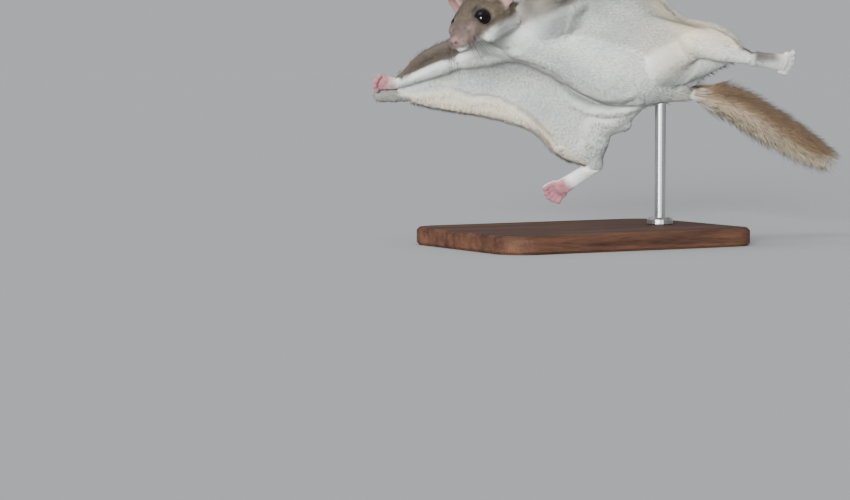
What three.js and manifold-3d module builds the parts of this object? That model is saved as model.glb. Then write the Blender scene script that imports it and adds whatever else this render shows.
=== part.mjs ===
// A southern flying squirrel in a banked glide, life-size, on a plain display stand.
// Millimetres, +Z up. The origin is the middle of the base's underside. The animal heads towards -Y
// with its left side towards +X, nose a little up and right side low.
import * as THREE from 'three';
import { mergeVertices } from 'three/addons/utils/BufferGeometryUtils.js';
import Module from 'manifold-3d';

const wasm = await Module();
wasm.setup();

const GAP = 0.3; // clearance between pieces that touch
const UP = new THREE.Vector3(0, 0, 1);

// Attitude of the glide, and how high the middle of the trunk hangs over the floor
const NOSE_UP = THREE.MathUtils.degToRad(14.8);
const LEFT_UP = THREE.MathUtils.degToRad(28.6);
const TRUNK_HEIGHT = 82;

// Display stand
const BASE_LENGTH = 132;
const BASE_WIDTH = 92;
const BASE_HEIGHT = 8;
const BASE_CORNER = 14;
const BASE_EDGE = 1.2; // bevel round the plate's top and bottom
const ROD_RADIUS = 2.5;
const COLLAR_RADIUS = 6;
const COLLAR_HEIGHT = 3;

// Places on the animal are given as forward, left and up of the middle of the trunk.
const at = (forward, left, up) => new THREE.Vector3(left, -forward, up);

const HIPS = at(-44, -1, 0); // where the rod holds the trunk

// Trunk, from the neck to the root of the tail, at even steps
const TRUNK = {
  path: [at(44, 0, 3.5), at(22, 0, 3), at(0, 0, 1.5), at(-24, 0, 0), at(-44, 0, 0), at(-61, 1, 1)],
  wide: [10, 13.5, 15.5, 17, 19, 20.5, 20, 16, 9.5, 5.5],
  top: [9.5, 11, 11.5, 12, 12.5, 13, 12.5, 10.5, 7, 4.5],
  under: [8, 9, 9.5, 10, 11.5, 13, 12.5, 9.5, 5.5, 4],
  steps: 14,
  sides: 20,
};

// Head: nose tip, where it points and which way its crown faces, then its sections from the nose
// back to the nape as half width, height over the nose line and depth under it
const NOSE_TIP = at(74.3, 6.3, -16);
const FACING = at(0.705, 0.017, -0.709).normalize();
const CROWN = at(0.664, 0.335, 0.669).normalize();
const HEAD_LENGTH = 39;
const SKULL = {
  wide: [3.2, 5.8, 7.8, 10.4, 11.8, 12.4, 12.4, 11.6, 9.4],
  top: [1.7, 3.3, 5.4, 8.2, 10.6, 11.8, 11.8, 10.8, 8.8],
  under: [2.4, 4.4, 5.6, 6.8, 8.0, 9.0, 9.4, 9.2, 8.0],
  steps: 10,
  sides: 14,
};
const EYE_RADIUS = 4.1;
const EYE = { back: 15.9, out: 6.3, up: 3.3, faces: [0.84, -0.5, 0.14] };
// The lids: half sizes of the mound round the eye, and how far from its middle they open
const LIDS = { half: [4.9, 6.3, 5.2], opening: 1.5 };
// Soft parts of the face: half sizes, and place to the side, behind and over the nose tip
const FACE = {
  whiskerPad: { half: [3.5, 5.4, 3.2], place: [2.8, 6.1, -1.2] },
  cheek: { half: [5.4, 9, 6.4], place: [6.4, 21, -2.8] },
  chin: { half: [2.7, 4.6, 1.9], place: [0, 5.6, -3.9] },
  nose: { half: [2.1, 1.5, 1.6], place: [0, 0.9, 0.3] },
  nostril: { half: [0.55, 0.9, 0.6], place: [1.15, -0.2, 0.1] },
};
// The line of the mouth, as places to the side and behind the nose tip, its depth and half width
const MOUTH = { line: [[6, 8.5], [3.9, 4], [0, -0.6], [-3.9, 4], [-6, 8.5]], under: 3.1, half: 0.5 };
const EAR = {
  back: 26.5, out: 10.6, up: 6.9, height: 14.5, width: 12.5, depth: 6.4, wall: 1.0,
  faces: [0.5, -0.85, -0.1], points: [0.84, 0.22, 0.5],
  raised: 0.26, // share of its height from its root on the skull to its middle
};
const NECK = {
  wide: [11, 11.5, 11], top: [10.5, 11, 10.2], under: [8.5, 9, 8.8], steps: 3, sides: 14, blunt: 0.3,
};

// Joints of the limbs. The right legs are spread wide and the left hind leg trails.
const LIMBS = {
  left: {
    side: 1,
    shoulder: at(28, 8, 3), elbow: at(40, 36, 1), wrist: at(51, 64, -4),
    handPoints: at(9, 6, -2), palmFaces: at(-0.2, 0.1, -1), spur: [at(44, 68, -5.5), at(55, 80, -7)],
    hip: at(-32, 7, -1), knee: at(-29, 43, -5), ankle: at(-57, 47.5, -6.5),
    footPoints: at(-25, -1, 5), soleFaces: at(-0.1, -0.6, 0.8),
    corner: at(46, 70, -6), margin: [at(27, 67, -5), at(5, 62, -4), at(-15, 53.5, -4.5), at(-37, 56, -5)],
    rearEdge: [at(-56, 4.5, 0), at(-52, 22, -3.6), at(-53, 42.5, -6.5)],
  },
  right: {
    side: -1,
    shoulder: at(28, -8, 4), elbow: at(46, -35, 6), wrist: at(61, -61, 4),
    handPoints: at(11, -4.5, 0.5), palmFaces: at(0.1, 0.5, -1), spur: [at(50, -64, 3), at(65.5, -72.5, 2)],
    hip: at(-33, -7, -2), knee: at(-36, -38, -6), ankle: at(-49.5, -62.5, -9),
    footPoints: at(11, -26, -7), soleFaces: at(0.3, 0.35, -1),
    corner: at(51, -68, 1), margin: [at(37, -65, -0.5), at(13, -57, -3), at(-10, -54, -6), at(-31, -63, -9)],
    rearEdge: [at(-54, -5, -1), at(-42, -17, -4), at(-40, -30, -7)],
  },
};
const UPPER_ARM = { wide: [7, 6.6, 5.8, 5.2], top: [6.4, 5.8, 5.2, 4.6], steps: 4, sides: 10 };
const FOREARM = { wide: [5, 4.7, 3.9, 3.2], top: [4.4, 4.1, 3.4, 2.8], steps: 4, sides: 10 };
const WINGTIP = { wide: [2.8, 3.3, 3.3, 2.6], top: [2.3, 2.8, 2.8, 2.2], steps: 3, sides: 8 };
const THIGH = { wide: [10.5, 10, 8.4, 7], top: [8.5, 7.8, 6.8, 5.8], steps: 4, sides: 12 };
const SHANK = { wide: [6.8, 6.3, 5, 4], top: [5.8, 5.5, 4.5, 3.6], steps: 4, sides: 10 };
const ELBOW = 4.6; // radii round the bent joints that the membranes keep clear of
const KNEE = 6;

// Hands and feet: the palm or sole, then its digits as length, spread in degrees and place across
const HAND = {
  length: 7, wide: [2.8, 3.4, 3.6], top: [2.4, 2.3, 2],
  digits: [[3.2, 16], [4.2, 5], [4, -5], [3, -16]],
  digitRadius: 1.35, spacing: 1.8, claw: 1.6, curl: 0.34,
};
const FOOT = {
  length: 21, wide: [2.9, 3.3, 3.9, 4.5], top: [3.1, 2.8, 2.6, 2.3],
  digits: [[4.2, 12], [5.5, 5], [6, 0], [5.6, -5], [4.4, -12]],
  digitRadius: 1.5, spacing: 1.9, claw: 1.8, curl: 0.22,
};

// Gliding membranes
const MEMBRANE = { thick: 2.2, roll: 3.0, edge: 1.1, across: 8, along: 12, billow: 5 };
const ROLL_FROM = 0.75; // shares of the width where the roll before the outer edge begins and is full
const ROLL_FULL = 0.93;
const FOREWEB = { thick: 4, roll: 4, edge: 2, across: 3, along: 8, billow: 0 };
const FOREWEB_LEAD = 13; // how far the leading web reaches ahead of the arm
const FOREWEB_END = 0.92; // the share of the forearm where it ends
const REARWEB = { thick: 3, roll: 3, edge: 1.4, across: 3, along: 6, billow: 0 };

// Tail: a slim core with flat locks combed backwards from both sides
const TAIL = {
  path: [at(-57, 2, 1), at(-80, 4.5, 0), at(-106, 3.2, -4.4), at(-138, 0.3, -10.5)],
  wide: [3.8, 4.6, 5, 4.8, 4.2, 3],
  top: [3.4, 3.4, 3.2, 2.9, 2.5, 1.8],
  up: at(0, -0.14, 0.99),
  steps: 9,
  sides: 8,
};
// Its locks: two layers of pairs, between a first and a last share of the tail, which leave the core
// at one angle and lie back at another, in degrees
const LOCKS = {
  pairs: 9, first: 0.045, last: 0.94, layersApart: 2.6, length: 14.6, wide: 4.1, thick: 1.15,
  leave: 60, lie: 34, stray: 7,
};
const TIP = { share: 0.95, locks: 5, across: 2, layersApart: 0.9, leave: 34, lie: 20 };

// Pseudo-random numbers from 0 to 1, the same on every run
let seed = 41;
function random() {
  seed = (seed * 16807) % 2147483647;
  return seed / 2147483647;
}

// The value at share t of a list of sizes that stand at even steps, read smoothly
function along(values, t) {
  const last = values.length - 1;
  const i = Math.min(Math.floor(t * last), last - 1);
  const f = t * last - i;
  const [a, b, c, d] = [-1, 0, 1, 2].map((k) => values[THREE.MathUtils.clamp(i + k, 0, last)]);
  return b + 0.5 * f * (c - a + f * (2 * a - 5 * b + 4 * c - d + f * (3 * (b - c) + d - a)));
}

// A closed geometry as a solid that can be joined and cut
function solid(geometry, matrix = new THREE.Matrix4()) {
  const bare = new THREE.BufferGeometry();
  bare.setAttribute('position', geometry.getAttribute('position').clone());
  bare.setIndex(geometry.index);
  bare.applyMatrix4(matrix);
  const merged = mergeVertices(bare, 1e-4);
  const vertProperties = new Float32Array(merged.attributes.position.array);
  const triVerts = new Uint32Array(merged.index.array);
  if (matrix.determinant() < 0) triVerts.reverse();
  return new wasm.Manifold(new wasm.Mesh({ numProp: 3, vertProperties, triVerts }));
}

// The largest closed surface of a solid
function largest(made) {
  const pieces = made.decompose();
  return pieces.reduce((best, piece) => (piece.volume() > best.volume() ? piece : best));
}

function join(...solids) {
  return solids.reduce((whole, piece) => whole.add(piece));
}

function cut(whole, ...tools) {
  return largest(tools.reduce((rest, tool) => rest.subtract(tool), whole));
}

// A closed surface over rings of points, with a point at each end
function loft(start, rings, end) {
  const count = rings[0].length;
  const points = [start, ...rings.flat(), end];
  const faces = [];
  const index = (ring, k) => 1 + ring * count + (k % count);
  for (let k = 0; k < count; k++) {
    faces.push(0, index(0, k + 1), index(0, k));
    faces.push(points.length - 1, index(rings.length - 1, k), index(rings.length - 1, k + 1));
  }
  for (let ring = 0; ring + 1 < rings.length; ring++) {
    for (let k = 0; k < count; k++) {
      faces.push(index(ring, k), index(ring, k + 1), index(ring + 1, k + 1));
      faces.push(index(ring, k), index(ring + 1, k + 1), index(ring + 1, k));
    }
  }
  const geometry = new THREE.BufferGeometry().setFromPoints(points);
  geometry.setIndex(faces);
  return geometry;
}

// A round-ended body swept along a path, with half widths and heights at even steps. A blunt under 1
// flattens its ends. grow makes it larger all round, for cutting its neighbours clear of it.
function sweep({ path, wide, top, under = top, steps, sides, up = UP, caps = 3, blunt = 1 }, grow = 0) {
  const curve = new THREE.CatmullRomCurve3(path, false, 'centripetal');
  const length = curve.getLength();
  const place = (distance) => {
    const share = THREE.MathUtils.clamp(distance / length, 0, 1);
    const tangent = curve.getTangentAt(share);
    const overshoot = distance - share * length;
    return { share, tangent, centre: curve.getPointAt(share).addScaledVector(tangent, overshoot) };
  };
  const stops = [];
  const first = Math.min(wide[0], top[0]) * blunt;
  const last = Math.min(wide.at(-1), top.at(-1)) * blunt;
  for (let k = 1; k < caps; k++) {
    const angle = (k / caps) * Math.PI / 2;
    stops.push([(first + grow) * (1 - Math.cos(angle)) - grow, Math.sin(angle)]);
  }
  for (let k = 0; k <= steps; k++) stops.push([first + (length - first - last) * (k / steps), 1]);
  for (let k = caps - 1; k > 0; k--) {
    const angle = (k / caps) * Math.PI / 2;
    stops.push([length + grow - (last + grow) * (1 - Math.cos(angle)), Math.sin(angle)]);
  }
  const rings = stops.map(([distance, factor]) => {
    const { share, tangent, centre } = place(distance);
    const side = new THREE.Vector3().crossVectors(up, tangent).normalize();
    const lift = new THREE.Vector3().crossVectors(tangent, side);
    const across = (along(wide, share) + grow) * factor;
    const above = (along(top, share) + grow) * factor;
    const below = (along(under, share) + grow) * factor;
    return Array.from({ length: sides }, (_, k) => {
      const angle = (k / sides) * 2 * Math.PI;
      const height = Math.sin(angle) * (Math.sin(angle) > 0 ? above : below);
      return centre.clone().addScaledVector(side, Math.cos(angle) * across).addScaledVector(lift, height);
    });
  });
  return solid(loft(place(-grow).centre, rings, place(length + grow).centre));
}

// A curve through points, as a function of the share of its length
function curveThrough(points) {
  const curve = new THREE.CatmullRomCurve3(points, false, 'centripetal');
  return (t) => curve.getPointAt(t);
}

// A thin sheet spanned between four edges: front and rear run outwards, inner and outer run back.
// It billows upwards, and swells to a roll before its outer edge.
function membrane({ front, rear, inner, outer, side, size }) {
  const { thick, roll, edge, across, along: down, billow } = size;
  const corners = [inner(0), outer(0), inner(1), outer(1)];
  const middle = (u, v) => {
    const point = new THREE.Vector3();
    point.addScaledVector(front(v), 1 - u).addScaledVector(rear(v), u);
    point.addScaledVector(inner(u), 1 - v).addScaledVector(outer(u), v);
    point.addScaledVector(corners[0], -(1 - u) * (1 - v)).addScaledVector(corners[1], -(1 - u) * v);
    point.addScaledVector(corners[2], -u * (1 - v)).addScaledVector(corners[3], -u * v);
    point.z += billow * Math.sin(Math.PI * u) * Math.sin(Math.PI * Math.min(v * 0.95, 1));
    return point;
  };
  const thickness = (v) => {
    if (v > ROLL_FULL) return THREE.MathUtils.lerp(roll, edge, (v - ROLL_FULL) / (1 - ROLL_FULL));
    return THREE.MathUtils.lerp(thick, roll, THREE.MathUtils.smoothstep(v, ROLL_FROM, ROLL_FULL));
  };
  const shares = Array.from({ length: across + 1 }, (_, k) => Math.sin((k / across) * Math.PI / 2));
  const step = 0.01;
  const faces = [[], []];
  for (let i = 0; i <= down; i++) {
    for (const v of shares) {
      const u = i / down;
      const [u0, u1] = [Math.max(u - step, 0), Math.min(u + step, 1)];
      const [v0, v1] = [Math.max(v - step, 0), Math.min(v + step, 1)];
      const back = middle(u1, v).sub(middle(u0, v));
      const out = middle(u, v1).sub(middle(u, v0));
      const normal = back.cross(out).multiplyScalar(side).normalize();
      if (normal.lengthSq() < 0.5) normal.copy(UP);
      const centre = middle(u, v);
      faces[0].push(centre.clone().addScaledVector(normal, thickness(v) / 2));
      faces[1].push(centre.clone().addScaledVector(normal, -thickness(v) / 2));
    }
  }
  const columns = shares.length;
  const offset = faces[0].length;
  const triangles = [];
  const quad = (a, b, c, d) => triangles.push(a, b, c, a, c, d);
  for (let i = 0; i < down; i++) {
    for (let k = 0; k < across; k++) {
      const a = i * columns + k;
      quad(a, a + columns, a + columns + 1, a + 1);
      triangles.push(offset + a, offset + a + columns + 1, offset + a + columns);
      triangles.push(offset + a, offset + a + 1, offset + a + columns + 1);
    }
  }
  for (let i = 0; i < down; i++) {
    const [a, b] = [i * columns, (i + 1) * columns];
    quad(a, offset + a, offset + b, b);
    quad(b + across, offset + b + across, offset + a + across, a + across);
  }
  for (let k = 0; k < across; k++) {
    const last = down * columns + k;
    quad(k + 1, offset + k + 1, offset + k, k);
    quad(last, offset + last, offset + last + 1, last + 1);
  }
  if (side < 0) triangles.reverse();
  const geometry = new THREE.BufferGeometry().setFromPoints([...faces[0], ...faces[1]]);
  geometry.setIndex(triangles);
  return solid(geometry);
}

// A ball stretched to the given half sizes along X, Y and Z
function ball(x, y, z, centre, sides = 12) {
  const geometry = new THREE.SphereGeometry(1, sides, Math.round(sides * 0.6));
  return solid(geometry, new THREE.Matrix4().makeTranslation(centre).scale(new THREE.Vector3(x, y, z)));
}

// Matrix of a frame with its origin at a point, -Y along forward and +Z along up as nearly as it can
function frameAt(origin, forward, up) {
  const y = forward.clone().normalize().negate();
  const x = new THREE.Vector3().crossVectors(y, up).normalize();
  const z = new THREE.Vector3().crossVectors(x, y);
  return new THREE.Matrix4().makeBasis(x, y, z).setPosition(origin);
}

// The head's own frame has the nose tip at its origin, +X left, +Y back and +Z to the crown.
const HEAD_FRAME = frameAt(NOSE_TIP, FACING, CROWN);
const onHead = (left, back, up) => new THREE.Vector3(left, back, up);
const inTrunk = (point) => point.clone().applyMatrix4(HEAD_FRAME);
const moved = (made, matrix) => made.transform(matrix.elements);

function eye(side, grow = 0) {
  const centre = onHead(side * EYE.out, EYE.back, EYE.up);
  return ball(EYE_RADIUS + grow, EYE_RADIUS + grow, EYE_RADIUS + grow, centre, 14);
}

function skull(grow = 0) {
  const path = [onHead(0, 0, 0), onHead(0, HEAD_LENGTH / 2, 0.5), onHead(0, HEAD_LENGTH, 0)];
  return sweep({ ...SKULL, path }, grow);
}

// A place on the head given for its left side, on either side
const onSide = ([left, back, up], side) => onHead(side * left, back, up);

// A mound round the eye, cut flat where the lids open
function lids(side) {
  const centre = onHead(side * EYE.out, EYE.back, EYE.up);
  const outward = onSide(EYE.faces, side).normalize();
  const reach = 2 * EYE_RADIUS;
  const turn = new THREE.Quaternion().setFromUnitVectors(new THREE.Vector3(0, 1, 0), outward);
  const middle = centre.clone().addScaledVector(outward, LIDS.opening + reach / 2);
  const matrix = new THREE.Matrix4().compose(middle, turn, new THREE.Vector3(1, 1, 1));
  const outside = solid(new THREE.CylinderGeometry(reach, reach, reach, 12), matrix);
  return ball(...LIDS.half, centre, 16).subtract(outside);
}

// The skull with the soft parts of the face and the lids, and with the sockets, the nostrils and the
// line of the mouth cut out
function head() {
  const part = ({ half, place }, side = 1, count = 12) => ball(...half, onSide(place, side), count);
  const pieces = [skull(), part(FACE.chin), part(FACE.nose, 1, 10)];
  const tools = [];
  for (const side of [1, -1]) {
    pieces.push(part(FACE.whiskerPad, side), part(FACE.cheek, side), lids(side));
    tools.push(eye(side, GAP), part(FACE.nostril, side, 6));
  }
  const path = MOUTH.line.map(([left, back]) => onHead(left, back, -MOUTH.under));
  const half = [MOUTH.half, MOUTH.half];
  tools.push(sweep({ path, wide: half, top: half, steps: 8, sides: 5, caps: 2 }));
  return cut(join(...pieces), ...tools);
}

// A cupped ear: a leaf-shaped bowl that opens forwards and outwards
function ear(side) {
  const leaf = (wide, deep, tall, shift) => {
    const geometry = new THREE.SphereGeometry(1, 12, 9);
    const position = geometry.getAttribute('position');
    for (let k = 0; k < position.count; k++) {
      const height = position.getY(k);
      const narrow = 1 - 0.16 * height - 0.12 * height * height;
      const [x, z] = [position.getX(k) * wide * narrow, position.getZ(k) * deep * narrow];
      position.setXYZ(k, x, shift - z, tall * height);
    }
    return solid(geometry);
  };
  const { width, depth, height, wall } = EAR;
  const bowl = leaf(width / 2, depth / 2, height / 2, 0);
  const hollow = leaf(width / 2 - wall * 0.7, depth / 2, height / 2 - wall * 0.7, -wall * 1.7);
  const points = onSide(EAR.points, side);
  const middle = onHead(side * EAR.out, EAR.back, EAR.up).addScaledVector(points, height * EAR.raised);
  return moved(bowl.subtract(hollow), frameAt(middle, onSide(EAR.faces, side), points));
}

// A hooked claw between its root and its point
function claw(root, point) {
  const bend = root.clone().lerp(point, 0.55).add(onHead(0, 0, 0.35));
  const ring = (centre, r) => [[r, 0], [0, r * 1.3], [-r, 0], [0, -r * 1.3]]
    .map(([x, z]) => centre.clone().add(onHead(x, 0, z)));
  return solid(loft(root, [ring(root.clone().lerp(bend, 0.1), 0.5), ring(bend, 0.4)], point));
}

// A hand or a foot: its palm or sole, digits and claws, from the wrist or heel along a direction
function paw(kind, root, points, faces, side, grow = 0) {
  const frame = frameAt(root, points, faces.clone().negate());
  const palm = [onHead(0, 1.5, 0), onHead(0, -kind.length / 2, -0.2), onHead(0, -kind.length, -0.3)];
  const pieces = [sweep({ path: palm, wide: kind.wide, top: kind.top, steps: 3, sides: 8, caps: 2 }, grow)];
  const middle = (kind.digits.length - 1) / 2;
  kind.digits.forEach(([length, spread], k) => {
    const angle = THREE.MathUtils.degToRad(spread);
    const base = onHead(side * (middle - k) * kind.spacing, -kind.length + 1.2, -0.4);
    const reach = (distance, drop) =>
      base.clone().add(onHead(side * Math.sin(angle), -Math.cos(angle), 0).multiplyScalar(distance))
        .add(onHead(0, 0, -drop));
    const bent = length * kind.curl;
    const r = kind.digitRadius;
    const finger = [base, reach(length * 0.55, -bent * 0.3), reach(length, bent)];
    const [wide, top] = [[r * 1.1, r, r * 0.9], [r, r * 0.9, r * 0.8]];
    pieces.push(sweep({ path: finger, wide, top, steps: 3, sides: 5, caps: 1 }));
    pieces.push(claw(reach(length - 1.2, bent), reach(length + kind.claw, bent + 1.3)));
  });
  return moved(join(...pieces), frame);
}

// A flat lock of hair: a blade that leaves its root along out, bends to lie along lie, and tapers
function lock(root, out, lie, length, wide, thick, flat) {
  const rings = [];
  const count = 4;
  const centre = root.clone();
  for (let k = 0; k < count; k++) {
    const t = k / count;
    const direction = out.clone().lerp(lie, Math.min(t * 1.5, 1)).normalize();
    const across = new THREE.Vector3().crossVectors(flat, direction).normalize();
    const half = wide * [0.75, 1, 0.9, 0.55][k];
    const deep = thick * (1 - 0.65 * t);
    rings.push([
      centre.clone().addScaledVector(across, half),
      centre.clone().addScaledVector(flat, deep),
      centre.clone().addScaledVector(across, -half),
      centre.clone().addScaledVector(flat, -deep),
    ]);
    centre.addScaledVector(direction, length / count);
  }
  return solid(loft(root.clone().addScaledVector(out, -0.6), rings, centre));
}

function tail() {
  const curve = new THREE.CatmullRomCurve3(TAIL.path, false, 'centripetal');
  const pieces = [sweep(TAIL)];
  const frame = (share) => {
    const back = curve.getTangentAt(share);
    const left = new THREE.Vector3().crossVectors(back, TAIL.up).normalize().negate();
    const flat = new THREE.Vector3().crossVectors(back, left).normalize().negate();
    return { back, left, flat, root: curve.getPointAt(share) };
  };
  const aim = (back, across, degrees) => {
    const angle = THREE.MathUtils.degToRad(degrees);
    return back.clone().multiplyScalar(Math.cos(angle)).addScaledVector(across, Math.sin(angle));
  };
  const { pairs, first, last, layersApart, length, wide, thick, leave, lie, stray } = LOCKS;
  for (const layer of [0, 1]) {
    for (let k = 0; k < pairs; k++) {
      const share = first + (last - first) * ((k + 0.5 * layer) / pairs);
      const { back, left, flat, root } = frame(share);
      const fullness = 0.66 + 0.34 * Math.sin(Math.PI * (0.3 + share * 0.6));
      for (const side of [1, -1]) {
        const across = left.clone().multiplyScalar(side);
        const start = root.clone().addScaledVector(across, along(TAIL.wide, share) * 0.5)
          .addScaledVector(flat, (layer - 0.5) * layersApart);
        const turn = (random() - 0.5) * stray;
        const [out, rest] = [aim(back, across, leave + turn), aim(back, across, lie + turn)];
        const long = length * fullness * (0.95 + 0.1 * random());
        pieces.push(lock(start, out, rest, long, wide, thick, flat));
      }
    }
  }
  const { back, left, flat, root } = frame(TIP.share);
  for (let k = 0; k < TIP.locks; k++) {
    const fan = (k / (TIP.locks - 1)) * 2 - 1;
    const start = root.clone().addScaledVector(left, fan * TIP.across)
      .addScaledVector(flat, ((k % 2) - 0.5) * TIP.layersApart);
    const [out, rest] = [aim(back, left, fan * TIP.leave), aim(back, left, fan * TIP.lie)];
    pieces.push(lock(start, out, rest, length * (0.9 - 0.1 * Math.abs(fan)), wide, thick, flat));
  }
  return join(...pieces);
}

// The limb pieces of one side, each swept between two joints
function limbSweeps(limb) {
  const { shoulder, elbow, wrist, hip, knee, ankle } = limb;
  const between = (a, b, sag = 0) => [a, a.clone().lerp(b, 0.5).add(at(0, 0, sag)), b];
  return {
    upper_arm: { ...UPPER_ARM, path: between(shoulder, elbow) },
    forearm: { ...FOREARM, path: between(elbow, wrist) },
    wingtip: { ...WINGTIP, path: between(...limb.spur, 0.6) },
    thigh: { ...THIGH, path: between(hip, knee) },
    shank: { ...SHANK, path: between(knee, ankle) },
  };
}

const solids = {};
const sides = Object.entries(LIMBS);

const torso = (grow = 0) => sweep(TRUNK, grow);
const headSolid = moved(head(), HEAD_FRAME);
const headRoom = moved(skull(GAP), HEAD_FRAME);
const nape = inTrunk(onHead(0, HEAD_LENGTH - 4, 0.5));
const neck = (grow = 0) => sweep({ ...NECK, path: [at(36, 0, 3.4), at(43.5, 1.3, 5.8), nape] }, grow);

solids.torso = torso();
solids.head = cut(headSolid, torso(GAP));
solids.neck = cut(neck(), torso(GAP), headRoom);
solids.tail = cut(tail(), torso(GAP));

for (const [name, limb] of sides) {
  const shapes = limbSweeps(limb);
  const room = (part) => sweep(shapes[part], GAP);
  const [body, neckRoom] = [torso(GAP), neck(GAP)];
  const hand = paw(HAND, limb.wrist, limb.handPoints, limb.palmFaces, limb.side);
  const foot = paw(FOOT, limb.ankle, limb.footPoints, limb.soleFaces, limb.side);

  solids[`eye_${name}`] = moved(eye(limb.side), HEAD_FRAME);
  solids[`ear_${name}`] = cut(moved(ear(limb.side), HEAD_FRAME), headRoom);
  solids[`upper_arm_${name}`] = cut(sweep(shapes.upper_arm), body, neckRoom);
  solids[`forearm_${name}`] = cut(sweep(shapes.forearm), room('upper_arm'));
  solids[`hand_${name}`] = cut(hand, room('forearm'));
  solids[`thigh_${name}`] = cut(sweep(shapes.thigh), body);
  solids[`shank_${name}`] = cut(sweep(shapes.shank), room('thigh'));
  solids[`foot_${name}`] = cut(foot, room('shank'));

  const palm = { ...HAND, digits: [] };
  const sole = { ...FOOT, digits: [] };
  const handRoom = paw(palm, limb.wrist, limb.handPoints, limb.palmFaces, limb.side, GAP);
  const footRoom = paw(sole, limb.ankle, limb.footPoints, limb.soleFaces, limb.side, GAP);
  solids[`wingtip_${name}`] = cut(sweep(shapes.wingtip), room('forearm'), handRoom);

  const { shoulder, elbow, wrist, corner, hip, knee, ankle, margin, rearEdge, side } = limb;
  const joint = (radius, centre) => ball(radius, radius, radius, centre);
  const limbRooms = [...Object.keys(shapes).map(room), joint(ELBOW, elbow), joint(KNEE, knee)];
  const web = membrane({
    front: curveThrough([shoulder, elbow, wrist, corner]),
    rear: curveThrough([hip, knee, ankle]),
    inner: curveThrough([shoulder, at(0, side * 7, 0), hip]),
    outer: curveThrough([corner, ...margin, ankle]),
    side,
    size: MEMBRANE,
  });
  solids[`patagium_${name}`] = cut(web, body, handRoom, footRoom, ...limbRooms);

  const throat = at(45, side * 7, 4);
  const lead = (share, reach, lift) => elbow.clone().lerp(wrist, share).add(at(reach, 0, lift));
  const [rearEnd, frontEnd] = [lead(FOREWEB_END, 0, 0), lead(FOREWEB_END, 3.5, 0)];
  const rim = [lead(-0.35, FOREWEB_LEAD + 1, 3), lead(0.2, FOREWEB_LEAD, 2.5),
    lead(0.65, FOREWEB_LEAD * 0.5, 1.5)];
  const foreweb = membrane({
    front: curveThrough([shoulder, throat]),
    rear: curveThrough([rearEnd, frontEnd]),
    inner: curveThrough([shoulder, elbow, rearEnd]),
    outer: curveThrough([throat, ...rim, frontEnd]),
    side: -side,
    size: FOREWEB,
  });
  solids[`propatagium_${name}`] = cut(foreweb, body, neckRoom, headRoom, handRoom, ...limbRooms);

  const rearweb = membrane({
    front: curveThrough([hip, knee]),
    rear: curveThrough([rearEdge[0], rearEdge[1], rearEdge[2]]),
    inner: curveThrough([hip, rearEdge[0]]),
    outer: curveThrough([knee, rearEdge[2]]),
    side,
    size: REARWEB,
  });
  solids[`rear_web_${name}`] = cut(rearweb, body, ...limbRooms);
}

const glide = new THREE.Matrix4().makeRotationFromEuler(new THREE.Euler(-NOSE_UP, -LEFT_UP, 0, 'XYZ'))
  .setPosition(new THREE.Vector3(0, 0, TRUNK_HEIGHT));
for (const name of Object.keys(solids)) solids[name] = moved(solids[name], glide);

// The stand: a bevelled plate, and a round rod that rises from a collar to the underside of the hips
function plate() {
  const [w, l] = [BASE_WIDTH / 2 - BASE_EDGE, BASE_LENGTH / 2 - BASE_EDGE];
  const r = BASE_CORNER - BASE_EDGE;
  const outline = new THREE.Shape();
  outline.absarc(w - r, l - r, r, 0, Math.PI / 2);
  outline.absarc(r - w, l - r, r, Math.PI / 2, Math.PI);
  outline.absarc(r - w, r - l, r, Math.PI, Math.PI * 1.5);
  outline.absarc(w - r, r - l, r, Math.PI * 1.5, Math.PI * 2);
  const geometry = new THREE.ExtrudeGeometry(outline, {
    depth: BASE_HEIGHT - 2 * BASE_EDGE,
    bevelThickness: BASE_EDGE,
    bevelSize: BASE_EDGE,
    bevelSegments: 1,
    curveSegments: 5,
  });
  return solid(geometry, new THREE.Matrix4().makeTranslation(0, 0, BASE_EDGE));
}

function rod(hips) {
  const foot = BASE_HEIGHT + GAP;
  const shoulder = foot + COLLAR_HEIGHT;
  const collar = [[COLLAR_RADIUS, foot], [COLLAR_RADIUS, shoulder - 1], [COLLAR_RADIUS - 1, shoulder]];
  const profile = [[0, foot], ...collar, [ROD_RADIUS, shoulder], [ROD_RADIUS, hips.z], [0, hips.z]];
  const geometry = new THREE.LatheGeometry(profile.map(([r, z]) => new THREE.Vector2(r, z)), 20);
  geometry.rotateX(Math.PI / 2);
  return solid(geometry, new THREE.Matrix4().makeTranslation(hips.x, hips.y, 0));
}

solids.stand_base = plate();
solids.stand_rod = cut(rod(HIPS.clone().applyMatrix4(glide)), moved(torso(GAP), glide));

const FUR_BELLY = { color: '#d9dbd5', roughness: 0.9 };
const FUR_BACK = { color: '#8b7d6d', roughness: 0.9 };
const FUR_TAIL = { color: '#a98d6d', roughness: 0.9 };
const BARE_SKIN = { color: '#b98d8d', roughness: 0.7 };
const EYE_BLACK = { color: '#0a0706', roughness: 0.05 };
const WALNUT = { color: '#4b3426', roughness: 0.45 };
const STEEL = { color: '#b9bbbd', roughness: 0.3, metalness: 1 };

function finish(name) {
  if (name === 'stand_base') return WALNUT;
  if (name === 'stand_rod') return STEEL;
  if (name === 'tail') return FUR_TAIL;
  if (name.startsWith('eye')) return EYE_BLACK;
  if (/^(ear|hand|foot)/.test(name)) return BARE_SKIN;
  if (/^(head|neck|wingtip)/.test(name)) return FUR_BACK;
  return FUR_BELLY;
}

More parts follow.
